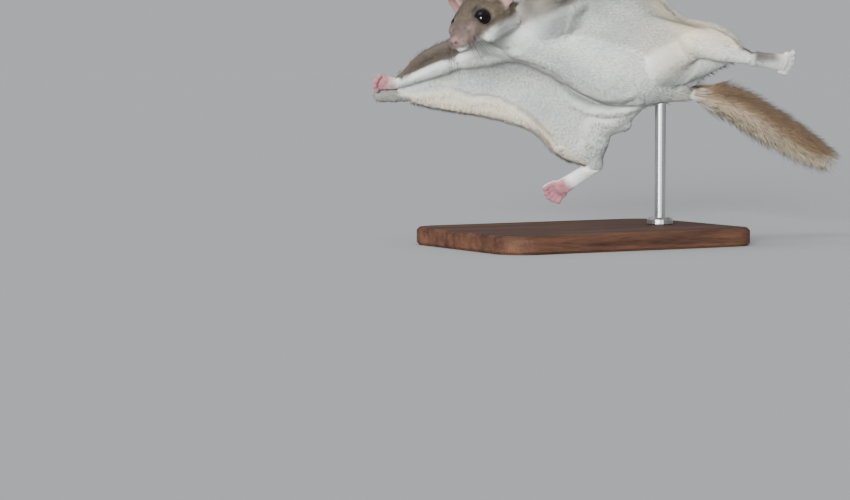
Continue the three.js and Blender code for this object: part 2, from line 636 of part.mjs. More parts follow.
const model = new THREE.Group();
for (const [name, made] of Object.entries(solids)) {
  const { vertProperties, triVerts } = made.getMesh();
  const geometry = new THREE.BufferGeometry();
  geometry.setAttribute('position', new THREE.BufferAttribute(vertProperties, 3));
  geometry.setIndex(new THREE.BufferAttribute(triVerts, 1));
  const mesh = new THREE.Mesh(geometry, new THREE.MeshStandardMaterial(finish(name)));
  mesh.name = name;
  model.add(mesh);
}

export default model;
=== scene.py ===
# A southern flying squirrel in a banked glide: its skin, coat, eyes, claws, whiskers and stand.
import math
from types import SimpleNamespace

import bmesh
import bpy
import numpy as np
from mathutils import Matrix, Vector
from mathutils.bvhtree import BVHTree


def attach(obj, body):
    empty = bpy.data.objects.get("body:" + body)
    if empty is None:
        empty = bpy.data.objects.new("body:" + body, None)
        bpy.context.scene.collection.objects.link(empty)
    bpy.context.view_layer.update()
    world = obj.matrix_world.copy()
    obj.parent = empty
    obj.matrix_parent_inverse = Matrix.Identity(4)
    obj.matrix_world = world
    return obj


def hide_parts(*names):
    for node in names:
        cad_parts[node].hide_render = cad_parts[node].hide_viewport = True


MM = 0.001
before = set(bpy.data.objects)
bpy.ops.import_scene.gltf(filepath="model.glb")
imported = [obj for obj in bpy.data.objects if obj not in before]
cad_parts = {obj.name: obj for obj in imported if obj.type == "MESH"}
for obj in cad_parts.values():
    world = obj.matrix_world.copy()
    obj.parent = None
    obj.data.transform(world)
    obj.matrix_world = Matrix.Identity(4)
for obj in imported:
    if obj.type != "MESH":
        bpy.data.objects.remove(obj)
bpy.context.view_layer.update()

# Attitude of the glide, in degrees, and height of the trunk's middle. Places on the animal are millimetres to
# its left, back and up of that middle
PITCH, BANK = -14.8, -28.6
GLIDE = Matrix.Rotation(math.radians(PITCH), 3, "X") @ Matrix.Rotation(math.radians(BANK), 3, "Y")
TURN = np.array(GLIDE)
TRUNK = np.array([0, 0, 82.0])


def at(forward, left, up):
    return np.array([left, -forward, up], float)


def to_row(points):
    """Places on the animal, in millimetres, as places in the row frame, in metres."""
    return (np.asarray(points) @ TURN.T + TRUNK) * MM


def to_animal(points):
    return (np.asarray(points) / MM - TRUNK) @ TURN


# Camera, fitted to the outline of the animal: where its nose, left side and back point in the picture
NOSEWARDS = np.array([-0.84459633, 0.2212096, 0.48756882])
LEFTWARDS = np.array([0.53407584, 0.4121866, 0.73814986])
UPWARDS = np.array([-0.0376835, 0.88383738, -0.46627399])
TRUNK_SEEN = np.array([71.168, 84.179, -1185.635])
TOWARDS = np.array([LEFTWARDS[2], -NOSEWARDS[2], UPWARDS[2]])
PICTURE_WIDTH, PICTURE_HEIGHT = 850, 500
FOCAL_PIXELS = 2640
SENSOR = 36

# The head's own frame: nose tip, where it points and where its crown faces
NOSE = at(74.3, 6.3, -16)
FACING = at(0.705, 0.017, -0.709)
CROWN = at(0.664, 0.335, 0.669)
EYE_PLACE = (6.3, 15.9, 3.3)
EYE_FACES = (0.84, -0.5, 0.14)
EYE_RADIUS = 4.1
LIDS_OPEN = 1.5
EAR_POINTS = (0.84, 0.22, 0.5)
EAR_FACES = (0.5, -0.85, -0.1)

# Joints of the limbs and the outer edges of the membranes
LIMBS = {
    "left": {
        "side": 1,
        "arm": [at(28, 8, 3), at(40, 36, 1), at(51, 64, -4)],
        "leg": [at(-32, 7, -1), at(-29, 43, -5), at(-57, 47.5, -6.5)],
        "hand": (at(9, 6, -2), at(-0.2, 0.1, -1)),
        "foot": (at(-25, -1, 5), at(-0.1, -0.6, 0.8)),
        "margin": [at(46, 70, -6), at(27, 67, -5), at(5, 62, -4), at(-15, 53.5, -4.5), at(-37, 56, -5),
                   at(-57, 47.5, -6.5)],
    },
    "right": {
        "side": -1,
        "arm": [at(28, -8, 4), at(46, -35, 6), at(61, -61, 4)],
        "leg": [at(-33, -7, -2), at(-36, -38, -6), at(-49.5, -62.5, -9)],
        "hand": (at(11, -4.5, 0.5), at(0.1, 0.5, -1)),
        "foot": (at(11, -26, -7), at(0.3, 0.35, -1)),
        "margin": [at(51, -68, 1), at(37, -65, -0.5), at(13, -57, -3), at(-10, -54, -6), at(-31, -63, -9),
                   at(-49.5, -62.5, -9)],
    },
}
# Hands and feet: length of the palm or sole, its half widths and heights, each digit's length and spread,
# and each pad's place across the palm and, as a share of its length, along it
PAWS = {
    "hand": {"length": 7.0, "wide": [2.6, 3.3, 3.6], "top": [2.3, 2.3, 2.0],
             "digits": [(3.2, 16), (4.2, 5), (4.0, -5), (3.0, -16)],
             "pads": [(2.0, 0.72), (0, 0.9), (-2.0, 0.72)],
             "radius": 1.3, "spacing": 1.8, "claw": 1.6, "curl": 0.34},
    "foot": {"length": 21.0, "wide": [3.4, 3.4, 3.8, 4.4], "top": [3.4, 2.9, 2.6, 2.3],
             "digits": [(5.0, 14), (6.3, 6), (6.8, 0), (6.4, -6), (5.2, -14)],
             "pads": [(2.4, 0.82), (0.8, 0.93), (-0.9, 0.93), (-2.5, 0.82)],
             "radius": 1.5, "spacing": 1.9, "claw": 1.8, "curl": 0.1},
}
TAIL_PATH = [at(-50, 1.6, 0.6), at(-57, 2, 1), at(-80, 4.5, 0), at(-106, 3.2, -4.4), at(-138, 0.3, -10.5)]
TAIL_WIDE = [3.2, 3.6, 4.2, 4.4, 4.0, 3.4, 2.2]
TAIL_DEEP = [2.8, 2.9, 2.9, 2.7, 2.4, 2.0, 1.2]
TAIL_UP = at(0, -0.14, 0.99)

# Lines on the underside as the camera sees them, in pixels: the fold where the trunk hangs over the right
# membrane, the fold inside the right membrane's fringe, and the line up to which the left arm is grey-brown
TRUNK_FOLD = [(484, 57), (490, 57), (505, 61), (520, 65), (545, 72), (560, 82), (565, 90), (575, 99),
              (590, 106), (608, 108), (625, 106), (634, 103)]
FRINGE_FOLD = [(398, 97), (405, 95.5), (418, 92.7), (434, 90.5), (450, 89), (462, 93.5), (473, 97.5),
               (486, 97), (501, 100), (517, 108), (532, 118), (549, 136), (556, 147)]
ARM_LINE = [(500, 36), (516, 28), (530, 22), (545, 16), (562, 10), (579, 3), (590, -4)]

FLESH = [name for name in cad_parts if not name.startswith(("eye", "stand", "tail", "hand", "foot"))]
PAW_NODES = [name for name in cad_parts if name.startswith(("hand", "foot"))]


def unit(vectors):
    vectors = np.asarray(vectors, float)
    return vectors / np.maximum(np.linalg.norm(vectors, axis=-1, keepdims=True), 1e-9)


def smoothstep(low, high, values):
    t = np.clip((np.asarray(values, float) - low) / (high - low), 0, 1)
    return t * t * (3 - 2 * t)


def mix(a, b, share):
    share = np.asarray(share, float)
    if share.ndim == 1 and 3 in (np.shape(a)[-1:] + np.shape(b)[-1:]):
        share = share[:, None]
    return a * (1 - share) + b * share


def basis(forward, up):
    """Columns: left, back and up of something that points forward."""
    back = -unit(forward)
    left = unit(np.cross(back, up))
    return np.column_stack([left, back, np.cross(left, back)])


HEAD = basis(FACING, CROWN)


def on_head(place, side=1):
    """A place on the head, given for its left side, on the animal."""
    return NOSE + HEAD @ (np.asarray(place, float) * [side, 1, 1])


CURVE_STEPS = 24


def curve(points, count):
    """A smooth line through points, as evenly spaced points."""
    points = np.asarray(points, float)
    ends = np.vstack([2 * points[0] - points[1], points, 2 * points[-1] - points[-2]])
    fine = []
    for k in range(len(points) - 1):
        a, b, c, d = ends[k:k + 4]
        for t in np.linspace(0, 1, CURVE_STEPS, endpoint=False):
            fine.append(b + 0.5 * t * (c - a + t * (2 * a - 5 * b + 4 * c - d + t * (3 * (b - c) + d - a))))
    fine = np.array(fine + [points[-1]])
    run = np.concatenate([[0], np.cumsum(np.linalg.norm(np.diff(fine, axis=0), axis=1))])
    stops = np.linspace(0, run[-1], count)
    return np.column_stack([np.interp(stops, run, fine[:, k]) for k in range(fine.shape[1])])


def spread_along(values, count):
    return np.interp(np.linspace(0, 1, count), np.linspace(0, 1, len(values)), values)


def tube(bm, path, wide, deep, up, sides=16, round_ends=True):
    """A closed tube along a path on the animal, with half widths and depths along it."""
    tangents = unit(np.gradient(path, axis=0))
    rings = []
    for centre, tangent, across, above in zip(path, tangents, wide, deep):
        side = unit(np.cross(up, tangent))
        lift = np.cross(tangent, side)
        turns = np.linspace(0, 2 * math.pi, sides, endpoint=False)
        ring = centre + np.outer(np.cos(turns) * across, side) + np.outer(np.sin(turns) * above, lift)
        rings.append([bm.verts.new(place) for place in to_row(ring)])
    for first, second in zip(rings, rings[1:]):
        for k in range(sides):
            bm.faces.new([first[k], first[(k + 1) % sides], second[(k + 1) % sides], second[k]])
    reach = [min(wide[0], deep[0]), min(wide[-1], deep[-1])] if round_ends else [0, 0]
    first_tip = path[0] - tangents[0] * reach[0]
    last_tip = path[-1] + tangents[-1] * reach[1]
    for ring, tip in ((rings[0], first_tip), (rings[-1], last_tip)):
        end = bm.verts.new(to_row(tip[None])[0])
        for k in range(sides):
            pair = [ring[k], ring[(k + 1) % sides]]
            bm.faces.new([pair[1], pair[0], end] if ring is rings[0] else [pair[0], pair[1], end])


def ball(bm, centre, half, turn=np.eye(3), detail=3):
    """A ball stretched to half sizes along the columns of turn."""
    made = bmesh.ops.create_icosphere(bm, subdivisions=detail, radius=1)
    for vertex in made["verts"]:
        vertex.co = to_row((centre + turn @ (np.array(vertex.co) * half))[None])[0]


def paw_frame(kind, limb):
    root = limb["arm" if kind == "hand" else "leg"][2]
    points, faces = limb[kind]
    return root, basis(points, -faces)


# Palm or sole: where it starts behind its joint, and how it sinks towards the digits
PALM_START = 3.5
PALM_RISES = (0.1, -0.2, -0.3)
PALM_PAD = [1.15, 1.25, 0.7]
PALM_PAD_DEPTH = 0.95
# Digits: how far each starts inside the palm and below it, how its knuckle stands up, where its claw starts,
# arches and ends, its half widths and depths as shares of its radius, and the pad under its tip
DIGIT_INSIDE, DIGIT_BELOW = 1.2, 0.4
KNUCKLE_RISE, KNUCKLE_SINK = 0.4, 0.2
CLAW_INSIDE, CLAW_RISE = 0.6, 0.35
CLAW_ARCH_AT, CLAW_ARCH = 0.55, 0.75
CLAW_DROP = 1.3
DIGIT_WIDE = [1.05, 0.85, 0.95]
DIGIT_DEEP = [1, 0.8, 0.9]
TIP_PAD = [1.05, 1.1, 0.75]
TIP_PAD_BELOW = 0.45


def digits_of(kind, limb):
    """Each digit of a paw as the line of its joints and its claw's line, on the animal."""
    shape = PAWS[kind]
    root, turn = paw_frame(kind, limb)
    middle = (len(shape["digits"]) - 1) / 2
    found = []
    for k, (length, spread) in enumerate(shape["digits"]):
        angle = math.radians(spread)
        heading = np.array([limb["side"] * math.sin(angle), -math.cos(angle), 0])
        across = limb["side"] * (middle - k) * shape["spacing"]
        base = np.array([across, -shape["length"] + DIGIT_INSIDE, -DIGIT_BELOW])
        bent = length * shape["curl"]
        knuckle = base + heading * length * 0.5 + [0, 0, KNUCKLE_RISE - bent * KNUCKLE_SINK]
        line = [base, knuckle, base + heading * length - [0, 0, bent]]
        tip = base + heading * (length + shape["claw"]) - [0, 0, bent + CLAW_DROP]
        claw_root = line[2] - heading * CLAW_INSIDE + [0, 0, CLAW_RISE]
        claw = [claw_root, mix(line[2], tip, CLAW_ARCH_AT) + [0, 0, CLAW_ARCH], tip]
        found.append(([root + turn @ place for place in line], [root + turn @ place for place in claw]))
    return found


def add_paw(bm, kind, limb):
    """The flesh of a hand or foot: palm or sole, digits and pads."""
    shape = PAWS[kind]
    root, turn = paw_frame(kind, limb)
    palm = np.column_stack([[0, 0, 0], [PALM_START, -shape["length"] / 2, -shape["length"]], PALM_RISES])
    path = curve([root + turn @ place for place in palm], 12)
    tube(bm, path, spread_along(shape["wide"], 12), spread_along(shape["top"], 12), turn[:, 2])
    radius = shape["radius"]
    for line, _ in digits_of(kind, limb):
        path = curve(line, 8)
        wide, deep = np.multiply(radius, DIGIT_WIDE), np.multiply(radius, DIGIT_DEEP)
        tube(bm, path, spread_along(wide, 8), spread_along(deep, 8), turn[:, 2], sides=12)
        ball(bm, line[2] - turn[:, 2] * radius * TIP_PAD_BELOW, np.multiply(radius, TIP_PAD), turn, 2)
    under = shape["top"][-1]
    for left, share in shape["pads"]:
        place = np.array([left * limb["side"], -shape["length"] * share, -under * PALM_PAD_DEPTH])
        ball(bm, root + turn @ place, PALM_PAD, turn, 2)


def seen(points):
    """Where the camera sees places on the animal, in pixels."""
    x, y, z = (points @ np.column_stack([LEFTWARDS, -NOSEWARDS, UPWARDS]).T + TRUNK_SEEN).T
    across = PICTURE_WIDTH / 2 - FOCAL_PIXELS * x / z
    down = PICTURE_HEIGHT / 2 + FOCAL_PIXELS * y / z
    return np.column_stack([across, down])


LINE_STEPS = 240


def line_gap(places, line):
    """Distance in pixels to a line of pixels, and how far below it each place is seen."""
    line = np.array(line, float)
    stops, corners = np.linspace(0, 1, LINE_STEPS), np.linspace(0, 1, len(line))
    fine = np.column_stack([np.interp(stops, corners, line[:, k]) for k in range(2)])
    gap = np.full(len(places), np.inf)
    for spot in fine:
        gap = np.minimum(gap, np.hypot(places[:, 0] - spot[0], places[:, 1] - spot[1]))
    return gap, places[:, 1] - np.interp(places[:, 0], line[:, 0], line[:, 1])


def arrays(mesh):
    count = len(mesh.vertices)
    places = np.empty(count * 3, np.float32)
    mesh.vertices.foreach_get("co", places)
    edges = np.empty(len(mesh.edges) * 2, np.int32)
    mesh.edges.foreach_get("vertices", edges)
    return places.reshape(-1, 3).astype(float), edges.reshape(-1, 2)


def normals_of(mesh):
    normals = np.empty(len(mesh.vertices) * 3, np.float32)
    mesh.vertices.foreach_get("normal", normals)
    return normals.reshape(-1, 3).astype(float)


def averaged(values, edges, rounds=1, weight=0.5):
    """Values on vertices, each drawn towards the mean of its neighbours."""
    count = len(values)
    a, b = edges[:, 0], edges[:, 1]
    degree = np.maximum(np.bincount(a, minlength=count) + np.bincount(b, minlength=count), 1)
    flat = values.reshape(count, -1).copy()
    weight = np.broadcast_to(np.asarray(weight, float).reshape(-1, 1), (count, 1))
    for _ in range(rounds):
        total = np.empty_like(flat)
        for k in range(flat.shape[1]):
            total[:, k] = np.bincount(a, flat[b, k], count) + np.bincount(b, flat[a, k], count)
        flat += weight * (total / degree[:, None] - flat)
    return flat.reshape(values.shape)


def new_object(name, mesh):
    made = bpy.data.objects.new(name, mesh)
    bpy.context.scene.collection.objects.link(made)
    return made


def baked(thing):
    """The thing's mesh with its modifiers applied."""
    ready = thing.evaluated_get(bpy.context.evaluated_depsgraph_get())
    return bpy.data.meshes.new_from_object(ready)


def from_bmesh(name, bm):
    mesh = bpy.data.meshes.new(name)
    for face in bm.faces:
        face.smooth = True
    bm.to_mesh(mesh)
    bm.free()
    return new_object(name, mesh)


def nearest_node():
    """A search tree over the CAD nodes of flesh, and each of its faces' node."""
    places, faces, owners = [], [], []
    for name in FLESH + PAW_NODES + ["tail"]:
        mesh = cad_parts[name].data
        start = len(places)
        places.extend(vertex.co.copy() for vertex in mesh.vertices)
        faces.extend([start + k for k in polygon.vertices] for polygon in mesh.polygons)
        owners.extend([name] * len(mesh.polygons))
    return BVHTree.FromPolygons(places, faces), owners


SEARCH, OWNERS = nearest_node()


def owners_at(places):
    return np.array([OWNERS[SEARCH.find_nearest(Vector(place))[2]] for place in places])


def share_of(owners, *starts):
    return np.array([name.startswith(starts) for name in owners], float)


# The skin: the nodes of flesh grown into each other, made one surface, smoothed and drawn in
GROWTH = 0.2 * MM
VOXEL = 0.42 * MM
SAME_PLACE = 0.001 * MM
SKIN_TRIANGLES = 180000
TAIL_STEPS = 40

# Rounded flesh over the elbows and knees, and the cheeks and whisker pads at places on the head
ELBOW = [5.4, 5.4, 4.4]
KNEE = [6.8, 6.8, 5.4]
CHEEK_PLACE, CHEEK = (6.6, 30, -4.5), [5.2, 9, 5.6]
WHISKER_PAD_PLACE, WHISKER_PAD = (5.2, 11.2, 2.2), [3.3, 4.6, 3.8]

# Hollows that loose skin and fur fill: behind the left arm, and between the thighs and the rear webs
FILLED = [(at(27, 19, 1), [10, 8, 3.2]), (at(31, 31, 0.8), [9, 8, 3]), (at(-41, 17, -4.4), [9, 6.5, 3.6]),
          (at(-43, 29, -5.6), [10, 6, 3.2]), (at(-38, -28, -6.5), [9, 8, 4.5])]


def solid_flesh():
    bm = bmesh.new()
    for name in FLESH:
        bm.from_mesh(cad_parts[name].data)
    bmesh.ops.remove_doubles(bm, verts=bm.verts, dist=SAME_PLACE)
    bm.normal_update()
    for vertex in bm.verts:
        vertex.co += vertex.normal * GROWTH
    for limb in LIMBS.values():
        add_paw(bm, "hand", limb)
        add_paw(bm, "foot", limb)
        ball(bm, limb["arm"][1], ELBOW)
        ball(bm, limb["leg"][1], KNEE)
        ball(bm, on_head(CHEEK_PLACE, limb["side"]), CHEEK, HEAD)
        ball(bm, on_head(WHISKER_PAD_PLACE, limb["side"]), WHISKER_PAD, HEAD)
    for place, half in FILLED:
        ball(bm, place, half)
    wide, deep = spread_along(TAIL_WIDE, TAIL_STEPS), spread_along(TAIL_DEEP, TAIL_STEPS)
    tube(bm, curve(TAIL_PATH, TAIL_STEPS), wide, deep, TAIL_UP, 20)
    return from_bmesh("flesh", bm)


def only_largest(mesh):
    """Drops all but the largest connected surface."""
    places, edges = arrays(mesh)
    label = np.arange(len(places))
    while True:
        before = label.copy()
        np.minimum.at(label, edges[:, 0], label[edges[:, 1]])
        np.minimum.at(label, edges[:, 1], label[edges[:, 0]])
        label = label[label]
        if (label == before).all():
            break
    names, counts = np.unique(label, return_counts=True)
    keep = names[counts.argmax()]
    bm = bmesh.new()
    bm.from_mesh(mesh)
    bm.verts.ensure_lookup_table()
    bmesh.ops.delete(bm, geom=[bm.verts[int(k)] for k in np.nonzero(label != keep)[0]], context="VERTS")
    bm.to_mesh(mesh)
    bm.free()


def set_places(mesh, places):
    mesh.vertices.foreach_set("co", np.asarray(places, np.float32).ravel())
    mesh.update()


# How deep the skin lies under the solids, in millimetres, and how much each region is smoothed
DEPTHS = [("patagium", 0.35, 1), ("propatagium", 0.5, 1), ("rear_web", 0.4, 1), ("torso", 0.9, 1),
          ("neck", 0.9, 1), ("head", 0.25, 0.3), ("ear", 0.12, 0.35), ("upper_arm", 0.6, 1),
          ("forearm", 0.5, 0.8), ("thigh", 0.7, 1), ("shank", 0.5, 1), ("wingtip", -0.5, 0.3),
          ("hand", 0.0, 0.12), ("foot", 0.0, 0.15), ("tail", 0.0, 0.8)]
DEPTH_COLUMN, SMOOTHING_COLUMN = 1, 2
REGION_SOFTENING = 12
SKIN_ROUNDS = 40


def by_region(owners, column):
    values = np.zeros(len(owners))
    for row in DEPTHS:
        values[share_of(owners, row[0]) > 0] = row[column]
    return values


# Folds of the underside: height in millimetres, then middle and width in pixels from the line
TRUNK_GROOVE = (0.3, 0, 2.8)
HANGING_RIDGE = (0.7, 6.5, 3.6)
UPPER_RIDGE = (0.45, 6.5, 4.0)
FRINGE_GROOVE = (0.55, 0, 2.4)
FRINGE_RIDGE = (0.3, 5, 3.5)
# Columns of the picture, in pixels, between which the hanging ridge and the fringe's groove come in
HANGS_FROM = (556, 572)
FRINGE_DEEPENS = (440, 470)


def bulge(gap, height, middle, width):
    """A soft swell at a distance from a line."""
    return height * np.exp(-((gap - middle) / width) ** 2)


def folds(points, normals):
    """Depth of the folds of the underside, in millimetres, and the soft ridges beside them."""
    spots = seen(points)
    facing = smoothstep(0.0, 0.25, normals @ TOWARDS)
    gap, below = line_gap(spots, TRUNK_FOLD)
    depth = bulge(gap, *TRUNK_GROOVE)
    depth -= bulge(gap, *HANGING_RIDGE) * (below > 0) * smoothstep(*HANGS_FROM, spots[:, 0])
    depth -= bulge(gap, *UPPER_RIDGE) * (below <= 0)
    gap, below = line_gap(spots, FRINGE_FOLD)
    depth += bulge(gap, *FRINGE_GROOVE) * smoothstep(*FRINGE_DEEPENS, spots[:, 0])
    depth -= bulge(gap, *FRINGE_RIDGE) * (below > 0)
    return depth * facing


# Where loose skin draws smoothly over the joins of the underside: places and radii in millimetres
LOOSE_SKIN = [(at(31, 24, 0), 18), (at(36, 34, -1), 11), (at(-41, 22, -6), 17), (at(-50, 34, -7), 12),
              (at(-36, -36, -7), 13), (at(36, -15, 1), 9), (at(24, -14, -2), 12), (at(12, -13, -3), 13),
              (at(0, -15, -4), 13), (at(-12, -18, -4), 13), (at(-24, -20, -5), 13), (at(-36, -17, -5), 11),
              (on_head((9, 30, -9)), 17), (on_head((9, 30, -9), -1), 17), (at(-52, 4, -4), 9),
              (at(-43, -50, -8), 13), (at(-33, 47, -6), 11)]
# The same on the back, over the joins of the trunk with the neck, the membranes and the limbs
LOOSE_BACK = [(at(36, 0, 8), 12), (at(24, 14, 3), 12), (at(24, -14, 3), 12), (at(5, 15, 2), 12),
              (at(5, -15, 2), 12), (at(-15, 15, 1), 12), (at(-15, -15, 1), 12), (at(-34, 15, 1), 14),
              (at(-34, -15, 1), 14), (at(34, 26, 3), 12), (at(38, -24, 6), 12), (at(-36, 34, -2), 14),
              (at(-38, -34, -3), 14), (at(-50, 2, 3), 10)]
LOOSE_ROUNDS = 380
# How far the skin faces up where the loose skin of the underside and of the back comes in
FACES_DOWN = (0.35, -0.1)
FACES_UP = (-0.1, 0.3)
# The share of a zone's radius within which it is smoothed in full
ZONE_CORE = 0.45


def draw_smooth(places, edges, normals):
    """Smooths the skin strongly where it is loose, below and on the back."""
    points = to_animal(places)
    up = (normals @ TURN)[:, 2]
    weight = np.zeros(len(points))
    for zones, faces in ((LOOSE_SKIN, FACES_DOWN), (LOOSE_BACK, FACES_UP)):
        facing = smoothstep(*faces, up)
        for place, radius in zones:
            near = smoothstep(radius, radius * ZONE_CORE, np.linalg.norm(points - place, axis=1))
            weight = np.maximum(weight, near * facing)
    chosen = np.nonzero(weight > 0.01)[0]
    number = np.full(len(points), -1)
    number[chosen] = np.arange(len(chosen))
    inner = number[edges]
    inner = inner[(inner >= 0).all(1)]
    places[chosen] = averaged(places[chosen], inner, LOOSE_ROUNDS, 0.5 * weight[chosen])
    return places


def make_skin():
    flesh = solid_flesh()
    remesh = flesh.modifiers.new("one surface", "REMESH")
    remesh.mode = "VOXEL"
    remesh.voxel_size = VOXEL
    mesh = baked(flesh)
    bpy.data.objects.remove(flesh)
    only_largest(mesh)
    places, edges = arrays(mesh)
    owners = owners_at(places)
    amount = averaged(by_region(owners, SMOOTHING_COLUMN), edges, REGION_SOFTENING)
    places = averaged(places, edges, SKIN_ROUNDS, 0.5 * amount)
    set_places(mesh, places)
    places = draw_smooth(places, edges, normals_of(mesh))
    set_places(mesh, places)
    normals = normals_of(mesh)
    depth = averaged(by_region(owners, DEPTH_COLUMN), edges, REGION_SOFTENING) * MM
    places = places - normals * (depth + folds(to_animal(places), normals @ TURN) * MM)[:, None]
    places = hug_eyes(places)
    set_places(mesh, places)
    skin = new_object("skin", mesh)
    thin = skin.modifiers.new("fewer faces", "DECIMATE")
    thin.ratio = SKIN_TRIANGLES / (2 * len(mesh.polygons))
    fewer = baked(skin)
    skin.modifiers.clear()
    skin.data = fewer
    for polygon in fewer.polygons:
        polygon.use_smooth = True
    return skin


# Eye sockets: how far from the eye the skin is drawn to it, and the gap that stays
SOCKET_REACH = 0.75
SOCKET_GAP = 0.06


def eye_centre(side):
    return on_head(EYE_PLACE, side)


def hug_eyes(places):
    """Draws the sockets onto the eyes, so that the lids touch them."""
    local = to_animal(places)
    for side in (1, -1):
        away = local - eye_centre(side)
        distance = np.linalg.norm(away, axis=1)
        near = distance < EYE_RADIUS + SOCKET_REACH
        local[near] = eye_centre(side) + away[near] / distance[near, None] * (EYE_RADIUS + SOCKET_GAP)
    return to_row(local)


skin = make_skin()
print("skin", len(skin.data.polygons))
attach(skin, "root")
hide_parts(*FLESH, *PAW_NODES)


def rgb(code):
    """An sRGB hex value as linear red, green and blue."""
    parts = np.array([int(code[k:k + 2], 16) for k in (1, 3, 5)]) / 255
    return np.where(parts <= 0.04045, parts / 12.92, ((parts + 0.055) / 1.055) ** 2.4)


# Colours of the coat and bare skin, and of the painted shade in the folds
WHITE = rgb("#eef0ea")
GREY_WHITE = rgb("#d2d8d5")
FOLD_SHADE = rgb("#8c9490")
CREAM = rgb("#f3ebd4")
# Painted shade, in a tan tone, for the fold inside the right membrane's fringe
TAN_FOLD_SHADE = rgb("#b0a48c")
PEACH = rgb("#e9d6b4")
BACK = rgb("#6f6355")
BACK_DARK = rgb("#4a433e")
CROWN_GREY = rgb("#827562")
FOOT_GREY = rgb("#7f7974")
MUZZLE = rgb("#8d7671")
PINK = rgb("#a9747c")
BLACK = rgb("#15100e")
# Brown of the tail's top, also used on the left half of its underside as partly its colour and partly painted
# shade
TAIL_BROWN_AND_SHADE = rgb("#80674b")
TAIL_LINE = rgb("#dcc3aa")
TAIL_BUFF = rgb("#c4b698")
TAIL_GREY = rgb("#cbc6ba")
TIP_GREY = rgb("#6f6c67")

# Sizes of the coat's soft patches, in millimetres
EDGE_PATCH, WHITE_PATCH, BACK_PATCH, CREAM_PATCH = 5, 18, 7, 6
FACE_PATCH, FACE_EDGE_PATCH, SPECKLE = 4, 3, 1.4
MOTTLE_SEED, MOTTLE_WAVES = 7, 6


def mottle(points, size):
    """Soft patches about a size across, from about -1 to 1."""
    rng = np.random.default_rng(MOTTLE_SEED)
    total = 0
    for _ in range(MOTTLE_WAVES):
        direction = unit(rng.normal(size=3)) * 2 * math.pi / (size * rng.uniform(0.8, 2.2))
        total = total + np.sin(points @ direction + rng.uniform(0, 6.28))
    return total / 3.5


MARGIN_STEPS = 160
AT_ONCE = 20000


def margin_of(points, side):
    """Distance to the outer edge of a membrane, and the way out across it."""
    line = curve(LIMBS["left" if side > 0 else "right"]["margin"], MARGIN_STEPS)
    nearest = np.empty(len(points), int)
    distance = np.empty(len(points))
    for start in range(0, len(points), AT_ONCE):
        part = points[start:start + AT_ONCE]
        gap = np.linalg.norm(part[:, None, :] - line[None], axis=2)
        nearest[start:start + AT_ONCE] = gap.argmin(1)
        distance[start:start + AT_ONCE] = gap.min(1)
    tangent = unit(np.gradient(line, axis=0))
    out = unit(np.cross(tangent, [0, 0, 1]))
    out *= np.sign(out[:, :1] * side + 1e-9)
    return distance, out[nearest]


# Parts of the animal by their nodes' first letters, and how far each runs into the next
REGIONS = {"head": ("head",), "neck": ("neck",), "ear": ("ear",), "trunk": ("torso",), "tail": ("tail",),
           "web": ("patagium", "propatagium", "rear_web"), "fore": ("propatagium",), "wingtip": ("wingtip",),
           "arm": ("upper_arm", "forearm"), "leg": ("thigh", "shank"), "hand": ("hand",), "foot": ("foot",)}
REGION_ROUNDS = 10


def read_skin(mesh):
    """Where each vertex of the skin is, which way it faces and which parts of the animal it is on."""
    places, edges = arrays(mesh)
    points = to_animal(places)
    normals = normals_of(mesh) @ TURN
    owners = owners_at(places)
    region = {name: averaged(share_of(owners, *starts), edges, REGION_ROUNDS)
              for name, starts in REGIONS.items()}
    return SimpleNamespace(
        count=len(points), edges=edges, points=points, normals=normals, region=region,
        head=(points - NOSE) @ HEAD, side=np.sign(points[:, 0]), up=normals[:, 2], spots=seen(points),
        facing=smoothstep(0.0, 0.2, normals @ TOWARDS))


def paint_body(on):
    """Grey-brown above and white below."""
    on.above = smoothstep(-0.05, 0.35, on.up + 0.12 * mottle(on.points, EDGE_PATCH))
    on.white = mix(WHITE, GREY_WHITE, np.clip(0.4 + 0.45 * mottle(on.points, WHITE_PATCH), 0, 1))
    on.back = mix(BACK, CROWN_GREY, np.clip(0.5 + 0.5 * mottle(on.points, BACK_PATCH), 0, 1))
    on.colour = mix(on.white, on.back, on.above)


# Bands along the membranes' outer edge: distances from it, in millimetres, where each comes in and is full
DARK_BAND = (13, 5)
CREAM_BAND = (11, 5)
PALE_EDGE = (8.0, 4.8)
FRINGE_TURNS = (12, 2)
FRINGE_BAND = (5, 1.0)
# How the coat lies: outwards on the flanks, and back where it turns out at the membranes' edges
FLANK_SPREAD = 0.15
EDGE_BACKWARDS = 0.55


def paint_margins(on):
    """Outer edge of the membranes: a dark band above and a cream fringe below, combed outwards."""
    on.lie = np.tile([0.0, 1.0, 0.0], (on.count, 1)) + np.outer(on.side * FLANK_SPREAD, [1, 0, 0])
    on.edge = np.zeros(on.count)
    for which in (1, -1):
        distance, out = margin_of(on.points, which)
        here = (on.side == which) * np.clip(on.region["web"] * 1.6, 0, 1)
        band = here * smoothstep(*DARK_BAND, distance)
        on.colour = mix(on.colour, BACK_DARK, band * on.above * 0.85)
        ragged = distance + 1.5 * mottle(on.points, CREAM_PATCH)
        cream = here * smoothstep(*CREAM_BAND, ragged) * (which == 1)
        on.colour = mix(on.colour, CREAM, cream * (1 - on.above) * 0.8)
        near = here * smoothstep(*PALE_EDGE, distance)
        on.colour = mix(on.colour, CREAM, near * 0.9)
        turning = here * smoothstep(*FRINGE_TURNS, distance)
        on.lie = mix(on.lie, unit(out + [0, EDGE_BACKWARDS, 0]), turning)
        on.edge = np.maximum(on.edge, here * smoothstep(*FRINGE_BAND, distance))


# Warm patches of the left flank and the rump: place to the left and back, in millimetres, spread and strength
WARM_PATCHES = [((40, 22), (350, 260), 1), ((0, 56), (120, 60), 0.8)]
